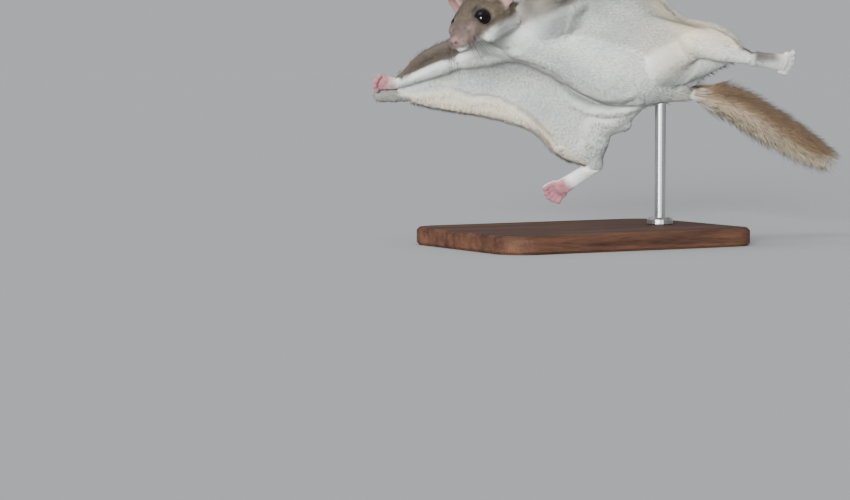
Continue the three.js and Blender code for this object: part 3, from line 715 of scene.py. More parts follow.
# Columns and rows of the picture, in pixels, between which the markings and the painted shade of the
# underside come in or go out
FRINGE_STARTS, FRINGE_ENDS = (396, 410), (557, 540)
FRINGE_SHADE_STARTS, FRINGE_SHADE_DEEPENS = (448, 470), (515, 545)
ARM_FRONT_ENDS = (600, 575)
FORE_WEB_ENDS = (480, 462)
ANKLE_PALES = (57.5, 65.5)
# Widths of the painted shade along the fringe's fold and along the trunk's fold, and how far below a line its
# other side starts, in pixels
FRINGE_SHADE_WIDTH, FOLD_WIDTH = 3.2, 1.9
BELOW_FRINGE = (-1, 3)
BEFORE_ARM = (2, -5)
# How far forward of the trunk's middle the arm's grey-brown front comes in, in millimetres
ARM_FRONT = (20, 30)


def paint_underside(on):
    """Warm patches, painted shade along the folds, and the grey-brown in front of the arms."""
    left, back = on.points[:, 0], on.points[:, 1]
    column = on.spots[:, 0]
    region = on.region
    warm = 0
    for (patch_left, patch_back), (wide, long), strength in WARM_PATCHES:
        warm = warm + strength * np.exp(-((left - patch_left) ** 2 / wide + (back - patch_back) ** 2 / long))
    on.colour = mix(on.colour, PEACH, np.clip(warm, 0, 1) * (1 - on.above) * 0.55)

    gap, below = line_gap(on.spots, FRINGE_FOLD)
    fringe = smoothstep(*FRINGE_ENDS, column) * smoothstep(*FRINGE_STARTS, column)
    outside = region["web"] * on.facing * (on.side < 0) * fringe
    on.colour = mix(on.colour, CREAM, outside * smoothstep(*BELOW_FRINGE, below))
    # Painted shade in a tan tone along the fold inside the fringe, stronger further along the line
    fringe_fold_shade = smoothstep(*FRINGE_SHADE_STARTS, column) * np.exp(-(gap / FRINGE_SHADE_WIDTH) ** 2) * (below < 1.5)
    on.colour = mix(on.colour, TAN_FOLD_SHADE, outside * fringe_fold_shade * (0.35 + 0.45 * smoothstep(*FRINGE_SHADE_DEEPENS, column)))
    gap, below = line_gap(on.spots, TRUNK_FOLD)
    body = region["trunk"] + region["web"] + region["arm"] + region["leg"]
    # Painted shade along the fold where the trunk hangs over the right membrane
    trunk_fold_shade = on.facing * np.exp(-(gap / FOLD_WIDTH) ** 2) * body
    on.colour = mix(on.colour, FOLD_SHADE, np.clip(trunk_fold_shade, 0, 1) * 0.4)

    _, below = line_gap(on.spots, ARM_LINE)
    front = smoothstep(*BEFORE_ARM, below) * on.facing * (on.side > 0) * smoothstep(*ARM_FRONT_ENDS, column)
    on.colour = mix(on.colour, mix(on.white, on.back, 0.75), front * smoothstep(*ARM_FRONT, -back))
    before_arm = smoothstep(0.35, 0.75, region["fore"]) * (on.side < 0) * smoothstep(*FORE_WEB_ENDS, column)
    on.colour = mix(on.colour, mix(on.back, BACK_DARK, 0.72), before_arm)
    on.colour = mix(on.colour, TIP_GREY, region["wingtip"] * 0.85)


def paint_limbs(on):
    """Fur that lies down the limbs, pink hands, and feet that are grey above with whitish toes."""
    region = on.region
    on.ankle = np.zeros(on.count)
    for name, limb in LIMBS.items():
        mine = on.side == limb["side"]
        arm, leg = unit(limb["arm"][2] - limb["arm"][0]), unit(limb["leg"][2] - limb["leg"][1])
        on.lie = mix(on.lie, unit(arm * 0.6 + [0, 0.8, 0]), mine * region["arm"])
        on.lie = mix(on.lie, unit(leg + [0, 0.3, 0]), mine * region["leg"])
        for kind in ("hand", "foot"):
            root, turn = paw_frame(kind, limb)
            local = (on.points - root) @ turn
            along = -local[:, 1] / PAWS[kind]["length"]
            under = smoothstep(0.1, -0.5, on.normals @ turn[:, 2])
            toes = smoothstep(0.55, 0.85, along)
            share = mine * region[kind]
            on.ankle = np.maximum(on.ankle, share * smoothstep(0.65, 0.05, along))
            pale = np.maximum(0.85 * toes, smoothstep(0.5, 3.5, -limb["side"] * local[:, 0]))
            if name == "left" and kind == "foot":
                pale = np.maximum(pale, 0.8 * smoothstep(*ANKLE_PALES, on.spots[:, 1]) * on.facing)
            top = mix(FOOT_GREY, WHITE, pale)
            fur = mix(top, PINK, 0.7 if kind == "hand" else 0.12 * toes)
            sole = mix(WHITE, PINK, np.clip(toes * 1.3 + (0.7 if kind == "hand" else 0), 0, 1))
            on.colour = mix(on.colour, mix(fur, sole, under), share)
            on.lie = mix(on.lie, -turn[:, 1], share)


# The line on the face from the lips under the eye to the ear: places back from the nose, and heights
FACE_LINE_BACK = [-2, 5, 10, 15, 22, 30, 40]
FACE_LINE_UP = [-2.6, -2.8, -2.6, -1.6, -2.6, -3.4, -2.5]
# Millimetres back from the nose where the speckled muzzle and the pale lips go out
MUZZLE_ENDS = (12, 6)
LIPS_END = (12, 7)
LIPS_BELOW = (-2.6, -4.2)
# The bare nose and nostrils: middles on the head, and radii where each comes in and is full. The nostrils'
# openings are painted near black as painted shade inside them
NOSE_MIDDLE, NOSE_BARE = (0, 0.6, 0.2), (3.0, 1.4)
NOSTRIL, NOSTRIL_SHADE = (1.3, -0.1, 0.1), (1.3, 0.6)
# The dark and the bare ring round each eye: distances from the eyeball
EYE_RING = (1.7, 0.6)
EYE_BARE = (1.2, 0.6)
# The face's hairs lie away from this place, in front of the nose
HAIRS_LEAVE = (0, -8, 0)


def paint_head(on):
    """Grey-brown above a line along the face and white below it, a speckled muzzle, a bare nose and painted
    shade in the nostrils.
    """
    head, points = on.head, on.points
    line = np.interp(head[:, 1], FACE_LINE_BACK, FACE_LINE_UP)
    upper = smoothstep(-1.0, 1.6, head[:, 2] - line + 0.5 * mottle(points, FACE_EDGE_PATCH))
    crown = mix(CROWN_GREY, BACK, np.clip(0.4 + 0.5 * mottle(points, FACE_PATCH), 0, 1))
    face = mix(WHITE, crown, upper)
    speckled = mix(MUZZLE, BACK_DARK, np.clip(0.3 + 0.6 * mottle(points, SPECKLE), 0, 0.75))
    face = mix(face, speckled, smoothstep(*MUZZLE_ENDS, head[:, 1]) * 0.85)
    pale_lip = smoothstep(*LIPS_BELOW, head[:, 2]) * smoothstep(*LIPS_END, head[:, 1])
    face = mix(face, WHITE, pale_lip * 0.7)
    nose = smoothstep(*NOSE_BARE, np.linalg.norm(head - NOSE_MIDDLE, axis=1))
    face = mix(face, mix(PINK, MUZZLE, 0.7), nose)
    on.bare = np.maximum(np.zeros(on.count), nose)
    for which in (1, -1):
        nostril_gap = np.linalg.norm(head - np.multiply(NOSTRIL, [which, 1, 1]), axis=1)
        # Painted shade inside each nostril's opening
        face = mix(face, BLACK, smoothstep(*NOSTRIL_SHADE, nostril_gap) * 0.85)
        gap = np.linalg.norm(points - eye_centre(which), axis=1) - EYE_RADIUS
        face = mix(face, BLACK, smoothstep(*EYE_RING, gap) * 0.85)
        on.bare = np.maximum(on.bare, smoothstep(*EYE_BARE, gap))
    on.colour = mix(on.colour, face, on.region["head"])
    away = unit(head - HAIRS_LEAVE) @ HEAD.T
    on.lie = mix(on.lie, away, on.region["head"])
    on.lie = mix(on.lie, unit(HEAD[:, 1] * 0.3 + [0, 1, 0]), on.region["neck"])


def paint_ears(on):
    """Ears: greyish pink and bare inside, thinly furred behind."""
    for which in (1, -1):
        faces = HEAD @ (unit(EAR_FACES) * [which, 1, 1])
        points_to = HEAD @ (unit(EAR_POINTS) * [which, 1, 1])
        ahead = on.normals @ faces
        mine = (on.head[:, 0] * which > 0) * on.region["ear"]
        ear = mix(CROWN_GREY, mix(PINK, CROWN_GREY, 0.45), smoothstep(-0.2, 0.3, ahead))
        on.colour = mix(on.colour, ear, mine)
        on.lie = mix(on.lie, points_to, mine)
        on.bare = np.maximum(on.bare, mine * smoothstep(0.1, 0.4, ahead))


# How far the tail's hairs lean out on its left and right halves, at shares of its length
LEFT_LEAN = [0, 0.04, 0.1, 0.2, 0.85, 1], [1.7, 1.5, 1.15, 0.85, 0.7, 0.55]
RIGHT_LEAN = [0, 0.1, 0.2, 0.85, 1], [0.7, 0.95, 1, 0.9, 0.7]
# Lengths of the tail's hairs, in millimetres, at shares of its length
LEFT_REACH = [0, 0.04, 0.15, 0.5, 0.9, 1], [12, 15.5, 16, 14.5, 12.5, 11]
RIGHT_REACH = [0, 0.05, 0.2, 0.5, 0.9, 1], [9, 13, 17, 17.5, 16, 13]
# Width of the pale parting along the tail, as a share of its half width
PARTING = 0.16


def paint_tail(on):
    """Tail: brown above and on the left half, buff below on the right, parted along the middle. The brown of
    the underside's left half is partly its colour and partly painted shade.
    """
    spine = curve(TAIL_PATH, 120)
    tangent = unit(np.gradient(spine, axis=0))
    on.is_tail = np.nonzero(on.region["tail"] > 0.01)[0]
    points = on.points[on.is_tail]
    nearest = np.array([np.linalg.norm(spine - point, axis=1).argmin() for point in points])
    back_way = tangent[nearest]
    left_way = unit(np.cross(back_way, TAIL_UP)) * -1
    left_way *= np.sign(left_way[:, :1])
    offset = ((points - spine[nearest]) * left_way).sum(1)
    along = nearest / (len(spine) - 1)
    half = np.interp(along, np.linspace(0, 1, len(TAIL_WIDE)), TAIL_WIDE)
    lateral = np.clip(offset / half, -1, 1)
    leaning = lateral * 0.55 + np.tanh(lateral * 5) * 0.35
    lean = leaning * np.where(lateral > 0, np.interp(along, *LEFT_LEAN), np.interp(along, *RIGHT_LEAN))
    tail_lie = unit(back_way * 0.72 + left_way * lean[:, None])
    below = on.up[on.is_tail] < 0
    # On the underside the left half is brown, partly its own colour and partly painted shade of the half
    # turned from the light
    buff = smoothstep(0.05, -0.2, lateral) * np.where(below, 1, smoothstep(0.45, 0.8, -lateral))
    tail_colour = mix(TAIL_BROWN_AND_SHADE, TAIL_BUFF, buff)
    parting = np.exp(-(lateral / PARTING) ** 2) * below * smoothstep(0.75, 0.3, along)
    tail_colour = mix(tail_colour, TAIL_LINE, parting * 0.8)
    tail_colour = mix(tail_colour, TAIL_GREY, smoothstep(0.25, 0.05, along) * buff * 0.8)
    tail_colour = mix(tail_colour, TAIL_GREY, smoothstep(0.9, 1.0, along) * 0.5)
    on.tail_share = on.region["tail"][on.is_tail]
    on.colour[on.is_tail] = mix(on.colour[on.is_tail], tail_colour, on.tail_share)
    on.lie[on.is_tail] = mix(on.lie[on.is_tail], tail_lie, on.tail_share)
    reach = np.where(lateral > 0, np.interp(along, *LEFT_REACH), np.interp(along, *RIGHT_REACH))
    on.tail_hair = reach * (0.72 + 0.28 * np.abs(lateral))


# Lengths of the coat in millimetres: below, and how much longer above
BODY_HAIR, BODY_HAIR_ABOVE = 2.6, 1.4
TRUNK_HAIR, TRUNK_HAIR_ABOVE = 2.8, 2.2
WEB_HAIR, WEB_HAIR_ABOVE = 2.5, 0.8
RUMP_HAIR, RUMP_FROM = 3.5, (38, 50)
FRINGE_HAIR = 3.8
NECK_HAIR = 4.6
LIMB_HAIR = 2.8
HEAD_HAIR = [0, 6, 12, 20, 30], [0.8, 1.7, 2.4, 3.3, 4.6]
EAR_HAIR = 0.8
PAW_HAIR, ANKLE_HAIR = 1.1, 1.6
# How far the coat stands off the skin, as a slope
FLAT_LIFT, LIFT_ABOVE = 0.045, 0.095
FRINGE_LIFT = 0.04
FLUFFY_LIFT = 0.12


def measure_coat(on):
    """Length and lift of the coat."""
    region, above = on.region, on.above
    hair = BODY_HAIR + BODY_HAIR_ABOVE * above
    hair = mix(hair, TRUNK_HAIR + TRUNK_HAIR_ABOVE * above, region["trunk"])
    hair += RUMP_HAIR * region["trunk"] * smoothstep(*RUMP_FROM, on.points[:, 1])
    hair = mix(hair, WEB_HAIR + WEB_HAIR_ABOVE * above, region["web"])
    hair = mix(hair, FRINGE_HAIR, on.edge)
    hair = mix(hair, NECK_HAIR, region["neck"])
    hair = mix(hair, LIMB_HAIR, region["arm"] + region["leg"])
    hair = mix(hair, np.interp(on.head[:, 1], *HEAD_HAIR), region["head"])
    hair = mix(hair, EAR_HAIR, region["ear"])
    hair = mix(hair, PAW_HAIR + ANKLE_HAIR * on.ankle, region["hand"] + region["foot"])
    hair[on.is_tail] = mix(hair[on.is_tail], on.tail_hair, on.tail_share)
    on.hair = hair
    lift = FLAT_LIFT + LIFT_ABOVE * above
    lift = mix(lift, FRINGE_LIFT, on.edge)
    lift = mix(lift, FLUFFY_LIFT, region["head"])
    on.lift = mix(lift, FLUFFY_LIFT, region["tail"])


def coat_zones(on):
    """Where each piece of the coat grows, from 0 to 1."""
    region, ankle = on.region, on.ankle
    soft = 1 - np.clip(on.bare * 1.5, 0, 1)
    paws = np.clip(region["hand"] + region["foot"], 0, 1)
    sole = np.zeros(on.count)
    for limb in LIMBS.values():
        for kind in ("hand", "foot"):
            _, turn = paw_frame(kind, limb)
            mine = (on.side == limb["side"]) * region[kind]
            sole = np.maximum(sole, mine * smoothstep(0.2, -0.3, on.normals @ turn[:, 2]))
    face = np.clip(region["head"] + region["ear"] * 0.6, 0, 1)
    tail = region["tail"] > 0.5
    rest = soft * (1 - face) * (~tail) * (1 - 0.5 * paws * (1 - ankle)) * (1 - 0.8 * sole * (1 - ankle))
    left = on.side > 0
    under = on.up < 0.05
    return {"where_face": soft * face * (~tail), "where_tail": tail,
            "where_under_left": rest * left * under, "where_under_right": rest * ~left * under,
            "where_over_left": rest * left * ~under, "where_over_right": rest * ~left * ~under,
            "where_edge": soft * on.edge}


def keep(mesh, name, kind, values):
    """Keeps values on the vertices as an attribute of the mesh."""
    layer = mesh.attributes.new(name, kind, "POINT")
    key = {"FLOAT": "value", "FLOAT_VECTOR": "vector", "FLOAT_COLOR": "color"}[kind]
    layer.data.foreach_set(key, np.asarray(values, np.float32).ravel())


LIE_ROUNDS = 8
COLOUR_ROUNDS = 2


def paint(skin):
    """Sets the coat's colour, lie, length and lift, and the bareness of the skin, on its vertices."""
    on = read_skin(skin.data)
    for step in (paint_body, paint_margins, paint_underside, paint_limbs, paint_head, paint_ears, paint_tail,
                 measure_coat):
        step(on)
    lie = averaged(on.lie, on.edges, LIE_ROUNDS)
    lie = unit(lie - on.normals * (lie * on.normals).sum(1)[:, None])
    colour = averaged(on.colour, on.edges, COLOUR_ROUNDS)
    opaque = np.column_stack([np.clip(colour, 0, 1), np.ones(on.count)])
    keep(skin.data, "coat_colour", "FLOAT_COLOR", opaque)
    keep(skin.data, "lie", "FLOAT_VECTOR", lie @ TURN.T)
    keep(skin.data, "hair", "FLOAT", on.hair * MM)
    keep(skin.data, "lift", "FLOAT", on.lift)
    keep(skin.data, "bare", "FLOAT", np.clip(on.bare, 0, 1))
    for name, values in coat_zones(on).items():
        keep(skin.data, name, "FLOAT", values)


paint(skin)


def add(tree, kind, feeds=None, **settings):
    """Adds a node with its settings, and feeds its inputs with values, sockets or nodes."""
    node = tree.nodes.new(kind)
    for name, value in settings.items():
        setattr(node, name, value)
    for key, value in (feeds or {}).items():
        if isinstance(key, int):
            socket = node.inputs[key]
        else:
            socket = next(s for s in node.inputs if s.name == key and s.enabled)
        if isinstance(value, bpy.types.Node):
            value = next(s for s in value.outputs if s.enabled)
        if isinstance(value, bpy.types.NodeSocket):
            tree.links.new(value, socket)
        else:
            socket.default_value = value
    return node


def new_material(name):
    material = bpy.data.materials.new(name)
    material.use_nodes = True
    material.node_tree.nodes.clear()
    return material, material.node_tree


def times_a_metre(size):
    """The scale of a texture whose patches are a size in millimetres."""
    return 1 / (size * MM)


# Coat of fine dry hair over an undercoat: soft and matt, darker at the root and paler at the tip. Hairs that
# are lit together take the skin's normal for a share of their own, and unlike hairs differ in tone
def hair_finish(name, root_shade, tip_shade, roughness, together, unlike):
    material, tree = new_material(name)
    colour = add(tree, "ShaderNodeAttribute", attribute_name="coat_colour")
    tip = add(tree, "ShaderNodeAttribute", attribute_name="tip")
    tint = add(tree, "ShaderNodeAttribute", attribute_name="tint")
    run = add(tree, "ShaderNodeMapRange", {"Value": tip.outputs["Fac"], "To Min": root_shade,
                                           "To Max": tip_shade})
    own = add(tree, "ShaderNodeMapRange", {"Value": tint.outputs["Fac"], "To Min": 1 - unlike,
                                           "To Max": 1 + 0.7 * unlike})
    shade = add(tree, "ShaderNodeMath", {0: run, 1: own}, operation="MULTIPLY")
    grey = add(tree, "ShaderNodeCombineColor", {"Red": shade, "Green": shade, "Blue": shade})
    mixed = add(tree, "ShaderNodeMix", {0: 1.0, 6: colour.outputs["Color"], 7: grey.outputs[0]},
                data_type="RGBA", blend_type="MULTIPLY")
    over = add(tree, "ShaderNodeAttribute", attribute_name="coat_normal")
    own_side = add(tree, "ShaderNodeNewGeometry")
    soft = add(tree, "ShaderNodeMix", {0: together, 4: own_side.outputs["Normal"],
                                       5: over.outputs["Vector"]}, data_type="VECTOR")
    facing = add(tree, "ShaderNodeVectorMath", {0: soft.outputs[1]}, operation="NORMALIZE")
    shader = add(tree, "ShaderNodeBsdfPrincipled", {"Base Color": mixed.outputs[2], "Roughness": roughness,
                                                    "Normal": facing, "Sheen Weight": 0.2,
                                                    "Sheen Roughness": 0.5, "Specular IOR Level": 0.25})
    add(tree, "ShaderNodeOutputMaterial", {"Surface": shader.outputs[0]})
    return material


FUR = hair_finish("fine_dry_hair", 0.94, 1.04, 0.8, 0.62, 0.06)
FACE_FUR = hair_finish("short_face_hair", 0.7, 1.12, 0.8, 0.35, 0.28)
TAIL_HAIR = hair_finish("long_soft_tail_hair", 0.84, 1.1, 0.7, 0.12, 0.12)

# Flat hairs and pores of the skin, in millimetres, coarser than the real ones so that they show
STRAND, STRAND_STRETCH = 0.4, 6
SKIN_PORE = 0.2857
SKIN_RELIEF = 0.2 * MM


# Thin skin under the coat: bump of the short flat hair, smoother and moister where it is bare
def skin_finish():
    material, tree = new_material("thin_skin_with_flat_hair")
    colour = add(tree, "ShaderNodeAttribute", attribute_name="coat_colour")
    bare = add(tree, "ShaderNodeAttribute", attribute_name="bare")
    place = add(tree, "ShaderNodeTexCoord").outputs["Object"]
    turned = add(tree, "ShaderNodeMapping", {"Vector": place}, vector_type="TEXTURE")
    turned.inputs["Rotation"].default_value = GLIDE.to_euler()
    turned.inputs["Scale"].default_value = (1, STRAND_STRETCH, 1)
    strands = add(tree, "ShaderNodeTexNoise", {"Vector": turned, "Scale": times_a_metre(STRAND),
                                               "Detail": 3.0, "Roughness": 0.6})
    pores = add(tree, "ShaderNodeTexVoronoi", {"Vector": place, "Scale": times_a_metre(SKIN_PORE)})
    relief = add(tree, "ShaderNodeMix", {0: bare.outputs["Fac"], 2: strands.outputs[0], 3: pores.outputs[0]})
    bump = add(tree, "ShaderNodeBump", {"Strength": 0.35, "Distance": SKIN_RELIEF,
                                        "Height": relief.outputs[0]})
    patch = add(tree, "ShaderNodeMapRange", {"Value": strands.outputs[0], "To Min": 0.82, "To Max": 1.05})
    grey = add(tree, "ShaderNodeCombineColor", {"Red": patch, "Green": patch, "Blue": patch})
    mixed = add(tree, "ShaderNodeMix", {0: 1.0, 6: colour.outputs["Color"], 7: grey.outputs[0]},
                data_type="RGBA", blend_type="MULTIPLY")
    rough = add(tree, "ShaderNodeMapRange", {"Value": bare.outputs["Fac"], "To Min": 0.8, "To Max": 0.42})
    shader = add(tree, "ShaderNodeBsdfPrincipled", {"Base Color": mixed.outputs[2], "Roughness": rough,
                                                    "Normal": bump, "Subsurface Weight": 0.15,
                                                    "Subsurface Scale": 0.001, "Specular IOR Level": 0.35})
    add(tree, "ShaderNodeOutputMaterial", {"Surface": shader.outputs[0]})
    return material


skin.data.materials.clear()
skin.data.materials.append(skin_finish())


# The coat: a tree that sets tufts on the skin, each a thin blade that leans along the lie of the coat
COAT_SIZES = {"Tufts per mm2": 1.9, "Width mm": 0.3, "Length": 1.0, "Stray": 0.05, "Clump": 0.08,
              "Clump mm": 6.0}
# Side of a tuft's patch of the bake map
PATCH = 0.003
# A tuft's width at the root, how it swells towards its point, and its depth as a share of its width
ROOT_WIDTH, SWELL, FLATNESS = 0.55, 1.6, 0.45
# Lengths and widths of the tufts, as shares of the coat's
LENGTHS = {2: 0.8, 3: 1.14, "Seed": 3}
WIDTHS = {2: 0.7, 3: 1.3, "Seed": 4}
TINTS = {2: 0.0, 3: 1.0, "Seed": 5}
STRAYS = {0: (-1, -1, -1), 1: (1, 1, 1), "Seed": 9}
# Attributes of the skin and of each tuft that only the tree needs
ONLY_FOR_GROWING = ("lie", "hair", "lift", "bare", "patch", "root")


def coat_tree():
    tree = bpy.data.node_groups.new("coat_of_tufts", "GeometryNodeTree")
    face = tree.interface
    face.new_socket("Skin", in_out="INPUT", socket_type="NodeSocketGeometry")
    face.new_socket("Unwrap", in_out="INPUT", socket_type="NodeSocketObject")
    face.new_socket("Finish", in_out="INPUT", socket_type="NodeSocketMaterial")
    face.new_socket("Where", in_out="INPUT", socket_type="NodeSocketString")
    face.new_socket("Segments", in_out="INPUT", socket_type="NodeSocketInt").default_value = 2
    face.new_socket("Seed", in_out="INPUT", socket_type="NodeSocketInt")
    for name, value in COAT_SIZES.items():
        face.new_socket(name, in_out="INPUT", socket_type="NodeSocketFloat").default_value = value
    face.new_socket("Coat", in_out="OUTPUT", socket_type="NodeSocketGeometry")
    given = add(tree, "NodeGroupInput").outputs
    tuft = one_tuft(tree, given)
    roots, normal = roots_on_skin(tree, given)
    turn = leaning(tree, given, normal)

    # How long and wide each is
    hair = add(tree, "GeometryNodeInputNamedAttribute", {"Name": "hair"}, data_type="FLOAT")
    length = add(tree, "ShaderNodeMath", {0: hair, 1: given["Length"]}, operation="MULTIPLY")
    longer = add(tree, "FunctionNodeRandomValue", LENGTHS, data_type="FLOAT").outputs[1]
    long = add(tree, "ShaderNodeMath", {0: length, 1: longer}, operation="MULTIPLY")
    wider = add(tree, "FunctionNodeRandomValue", WIDTHS, data_type="FLOAT").outputs[1]
    width = add(tree, "ShaderNodeMath", {0: given["Width mm"], 1: wider}, operation="MULTIPLY")
    half_width = add(tree, "ShaderNodeMath", {0: width, 1: 0.5 * MM}, operation="MULTIPLY")
    size = add(tree, "ShaderNodeCombineXYZ", {"X": half_width, "Y": half_width, "Z": long})
    set_out = add(tree, "GeometryNodeInstanceOnPoints", {"Points": roots, "Instance": tuft, "Rotation": turn,
                                                         "Scale": size})
    real = add(tree, "GeometryNodeRealizeInstances", {0: set_out})

    # Each tuft's patch of the bake map lies round its root's place
    patch = add(tree, "GeometryNodeInputNamedAttribute", {"Name": "patch"}, data_type="FLOAT_VECTOR")
    centred = add(tree, "ShaderNodeVectorMath", {0: patch, 1: (0.0, 0.5, 0.0)}, operation="SUBTRACT")
    small = add(tree, "ShaderNodeVectorMath", {0: centred, "Scale": PATCH * 0.5}, operation="SCALE")
    root = add(tree, "GeometryNodeInputNamedAttribute", {"Name": "root"}, data_type="FLOAT_VECTOR")
    mapped = add(tree, "ShaderNodeVectorMath", {0: root, 1: small}, operation="ADD")
    final = add(tree, "GeometryNodeStoreNamedAttribute", {"Geometry": real, "Name": "OFBake",
                                                          "Value": mapped},
                data_type="FLOAT2", domain="CORNER")
    smooth = add(tree, "GeometryNodeSetShadeSmooth", {"Geometry": final})
    finish = add(tree, "GeometryNodeSetMaterial", {"Geometry": smooth, "Material": given["Finish"]})
    add(tree, "NodeGroupOutput", {0: finish})
    return tree


def one_tuft(tree, given):
    """One tuft, from 0 to 1 along Z: it swells from its root and comes to a point."""
    cone = add(tree, "GeometryNodeMeshCone", {"Vertices": 3, "Side Segments": given["Segments"],
                                              "Radius Top": 0.0, "Radius Bottom": 1.0, "Depth": 1.0},
               fill_type="NGON")
    place = add(tree, "ShaderNodeSeparateXYZ", {0: add(tree, "GeometryNodeInputPosition")})
    x, y, z = place.outputs
    swell = add(tree, "ShaderNodeMath", {0: z, 1: SWELL, 2: ROOT_WIDTH}, operation="MULTIPLY_ADD")
    wide = add(tree, "ShaderNodeMath", {0: x, 1: swell}, operation="MULTIPLY")
    across = add(tree, "ShaderNodeMath", {0: y, 1: swell}, operation="MULTIPLY")
    deep = add(tree, "ShaderNodeMath", {0: across, 1: FLATNESS}, operation="MULTIPLY")
    shaped = add(tree, "ShaderNodeCombineXYZ", {"X": wide, "Y": deep, "Z": z})
    blade = add(tree, "GeometryNodeSetPosition", {"Geometry": cone.outputs["Mesh"], "Position": shaped})
    tipped = add(tree, "GeometryNodeStoreNamedAttribute", {"Geometry": blade, "Name": "tip", "Value": z},
                 data_type="FLOAT", domain="POINT")
    patch = add(tree, "ShaderNodeCombineXYZ", {"X": x, "Y": z})
    return add(tree, "GeometryNodeStoreNamedAttribute", {"Geometry": tipped, "Name": "patch", "Value": patch},
               data_type="FLOAT_VECTOR", domain="POINT")


def roots_on_skin(tree, given):
    """Roots scattered on the skin, which know their place on the unwrap, their tint and the skin's normal."""
    where = add(tree, "GeometryNodeInputNamedAttribute", {"Name": given["Where"]}, data_type="FLOAT")
    per_mm2 = add(tree, "ShaderNodeMath", {0: where, 1: given["Tufts per mm2"]}, operation="MULTIPLY")
    density = add(tree, "ShaderNodeMath", {0: per_mm2, 1: MM ** -2}, operation="MULTIPLY")
    roots = add(tree, "GeometryNodeDistributePointsOnFaces", {"Mesh": given["Skin"], "Density": density,
                                                              "Seed": given["Seed"]},
                distribute_method="RANDOM")
    spread = add(tree, "GeometryNodeObjectInfo", {"Object": given["Unwrap"]}, transform_space="ORIGINAL")
    unwrap_place = add(tree, "GeometryNodeInputNamedAttribute", {"Name": "unwrap"}, data_type="FLOAT_VECTOR")
    unwrapped = add(tree, "GeometryNodeSampleNearestSurface", {"Mesh": spread.outputs["Geometry"],
                                                               "Value": unwrap_place},
                    data_type="FLOAT_VECTOR")
    tint = add(tree, "FunctionNodeRandomValue", TINTS, data_type="FLOAT").outputs[1]
    normal = roots.outputs["Normal"]
    rooted = roots.outputs["Points"]
    for name, kind, value in (("root", "FLOAT_VECTOR", unwrapped), ("tint", "FLOAT", tint),
                              ("coat_normal", "FLOAT_VECTOR", normal)):
        rooted = add(tree, "GeometryNodeStoreNamedAttribute", {"Geometry": rooted, "Name": name,
                                                               "Value": value},
                     data_type=kind, domain="POINT")
    return rooted, normal


def leaning(tree, given, normal):
    """Which way each tuft leans: along the lie, raised by the lift, drawn into clumps and a little astray."""
    position = add(tree, "GeometryNodeInputPosition")
    scale = add(tree, "ShaderNodeMath", {0: 1 / MM, 1: given["Clump mm"]}, operation="DIVIDE")
    waves = add(tree, "ShaderNodeTexNoise", {"Vector": position, "Scale": scale, "Detail": 2.0})
    both_ways = add(tree, "ShaderNodeVectorMath", {0: waves.outputs["Color"], 1: (0.5, 0.5, 0.5)},
                    operation="SUBTRACT")
    pull = add(tree, "ShaderNodeMath", {0: given["Clump"], 1: 2.0}, operation="MULTIPLY")
    clump = add(tree, "ShaderNodeVectorMath", {0: both_ways, "Scale": pull}, operation="SCALE")
    wander = add(tree, "FunctionNodeRandomValue", STRAYS, data_type="FLOAT_VECTOR").outputs[0]
    stray = add(tree, "ShaderNodeVectorMath", {0: wander, "Scale": given["Stray"]}, operation="SCALE")
    lift = add(tree, "GeometryNodeInputNamedAttribute", {"Name": "lift"}, data_type="FLOAT")
    raised = add(tree, "ShaderNodeVectorMath", {0: normal, "Scale": lift}, operation="SCALE")
    lie = add(tree, "GeometryNodeInputNamedAttribute", {"Name": "lie"}, data_type="FLOAT_VECTOR")
    combed = add(tree, "ShaderNodeVectorMath", {0: lie, 1: raised}, operation="ADD")
    loose = add(tree, "ShaderNodeVectorMath", {0: clump, 1: stray}, operation="ADD")
    heading = add(tree, "ShaderNodeVectorMath", {0: combed, 1: loose}, operation="ADD")
    return add(tree, "FunctionNodeAxesToRotation", {0: heading, 1: normal}, primary_axis="Z",
               secondary_axis="Y")


COAT_TREE = coat_tree()
UNWRAP_SHARE = 0.03
UNWRAP_ANGLE = 66
UNWRAP_MARGIN = 0.004


def unwrap_skin():
    """A coarse copy of the skin, unwrapped by its own shape, where each tuft finds its root's place."""
    coarse = new_object("skin_unwrap", skin.data.copy())
    thin = coarse.modifiers.new("fewer faces", "DECIMATE")
    thin.ratio = UNWRAP_SHARE
    mesh = baked(coarse)
    coarse.modifiers.clear()
    coarse.data = mesh
    bpy.context.view_layer.objects.active = coarse
    bpy.ops.object.select_all(action="DESELECT")
    coarse.select_set(True)
    bpy.ops.object.mode_set(mode="EDIT")
    bpy.ops.mesh.select_all(action="SELECT")
    bpy.ops.uv.smart_project(angle_limit=math.radians(UNWRAP_ANGLE), island_margin=UNWRAP_MARGIN)
    bpy.ops.object.mode_set(mode="OBJECT")
    places = np.empty(len(mesh.loops) * 2, np.float32)
    mesh.uv_layers.active.data.foreach_get("uv", places)
    layer = mesh.attributes.new("unwrap", "FLOAT_VECTOR", "CORNER")
    flat = np.column_stack([places.reshape(-1, 2), np.zeros(len(mesh.loops))])
    layer.data.foreach_set("vector", flat.astype(np.float32).ravel())
    return coarse


unwrap = unwrap_skin()


def grow_coat(name, where, finish, seed, sizes, segments=2):
    """Grows one piece of the coat where an attribute of the skin says, as a plain mesh."""
    source = new_object("source", skin.data)
    growing = source.modifiers.new("coat", "NODES")
    growing.node_group = COAT_TREE
    given = {"Unwrap": unwrap, "Finish": finish, "Where": where, "Segments": segments, "Seed": seed, **sizes}
    for socket in COAT_TREE.interface.items_tree:
        if socket.in_out == "INPUT" and socket.name in given:
            growing[socket.identifier] = given[socket.name]
    mesh = baked(source)
    bpy.data.objects.remove(source)
    for layer in [a.name for a in mesh.attributes]:
        if layer in ONLY_FOR_GROWING or layer.startswith("where_"):
            mesh.attributes.remove(mesh.attributes[layer])
    piece = new_object(name, mesh)
    print(name, sum(len(polygon.vertices) - 2 for polygon in mesh.polygons))
    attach(piece, "root")
    return piece


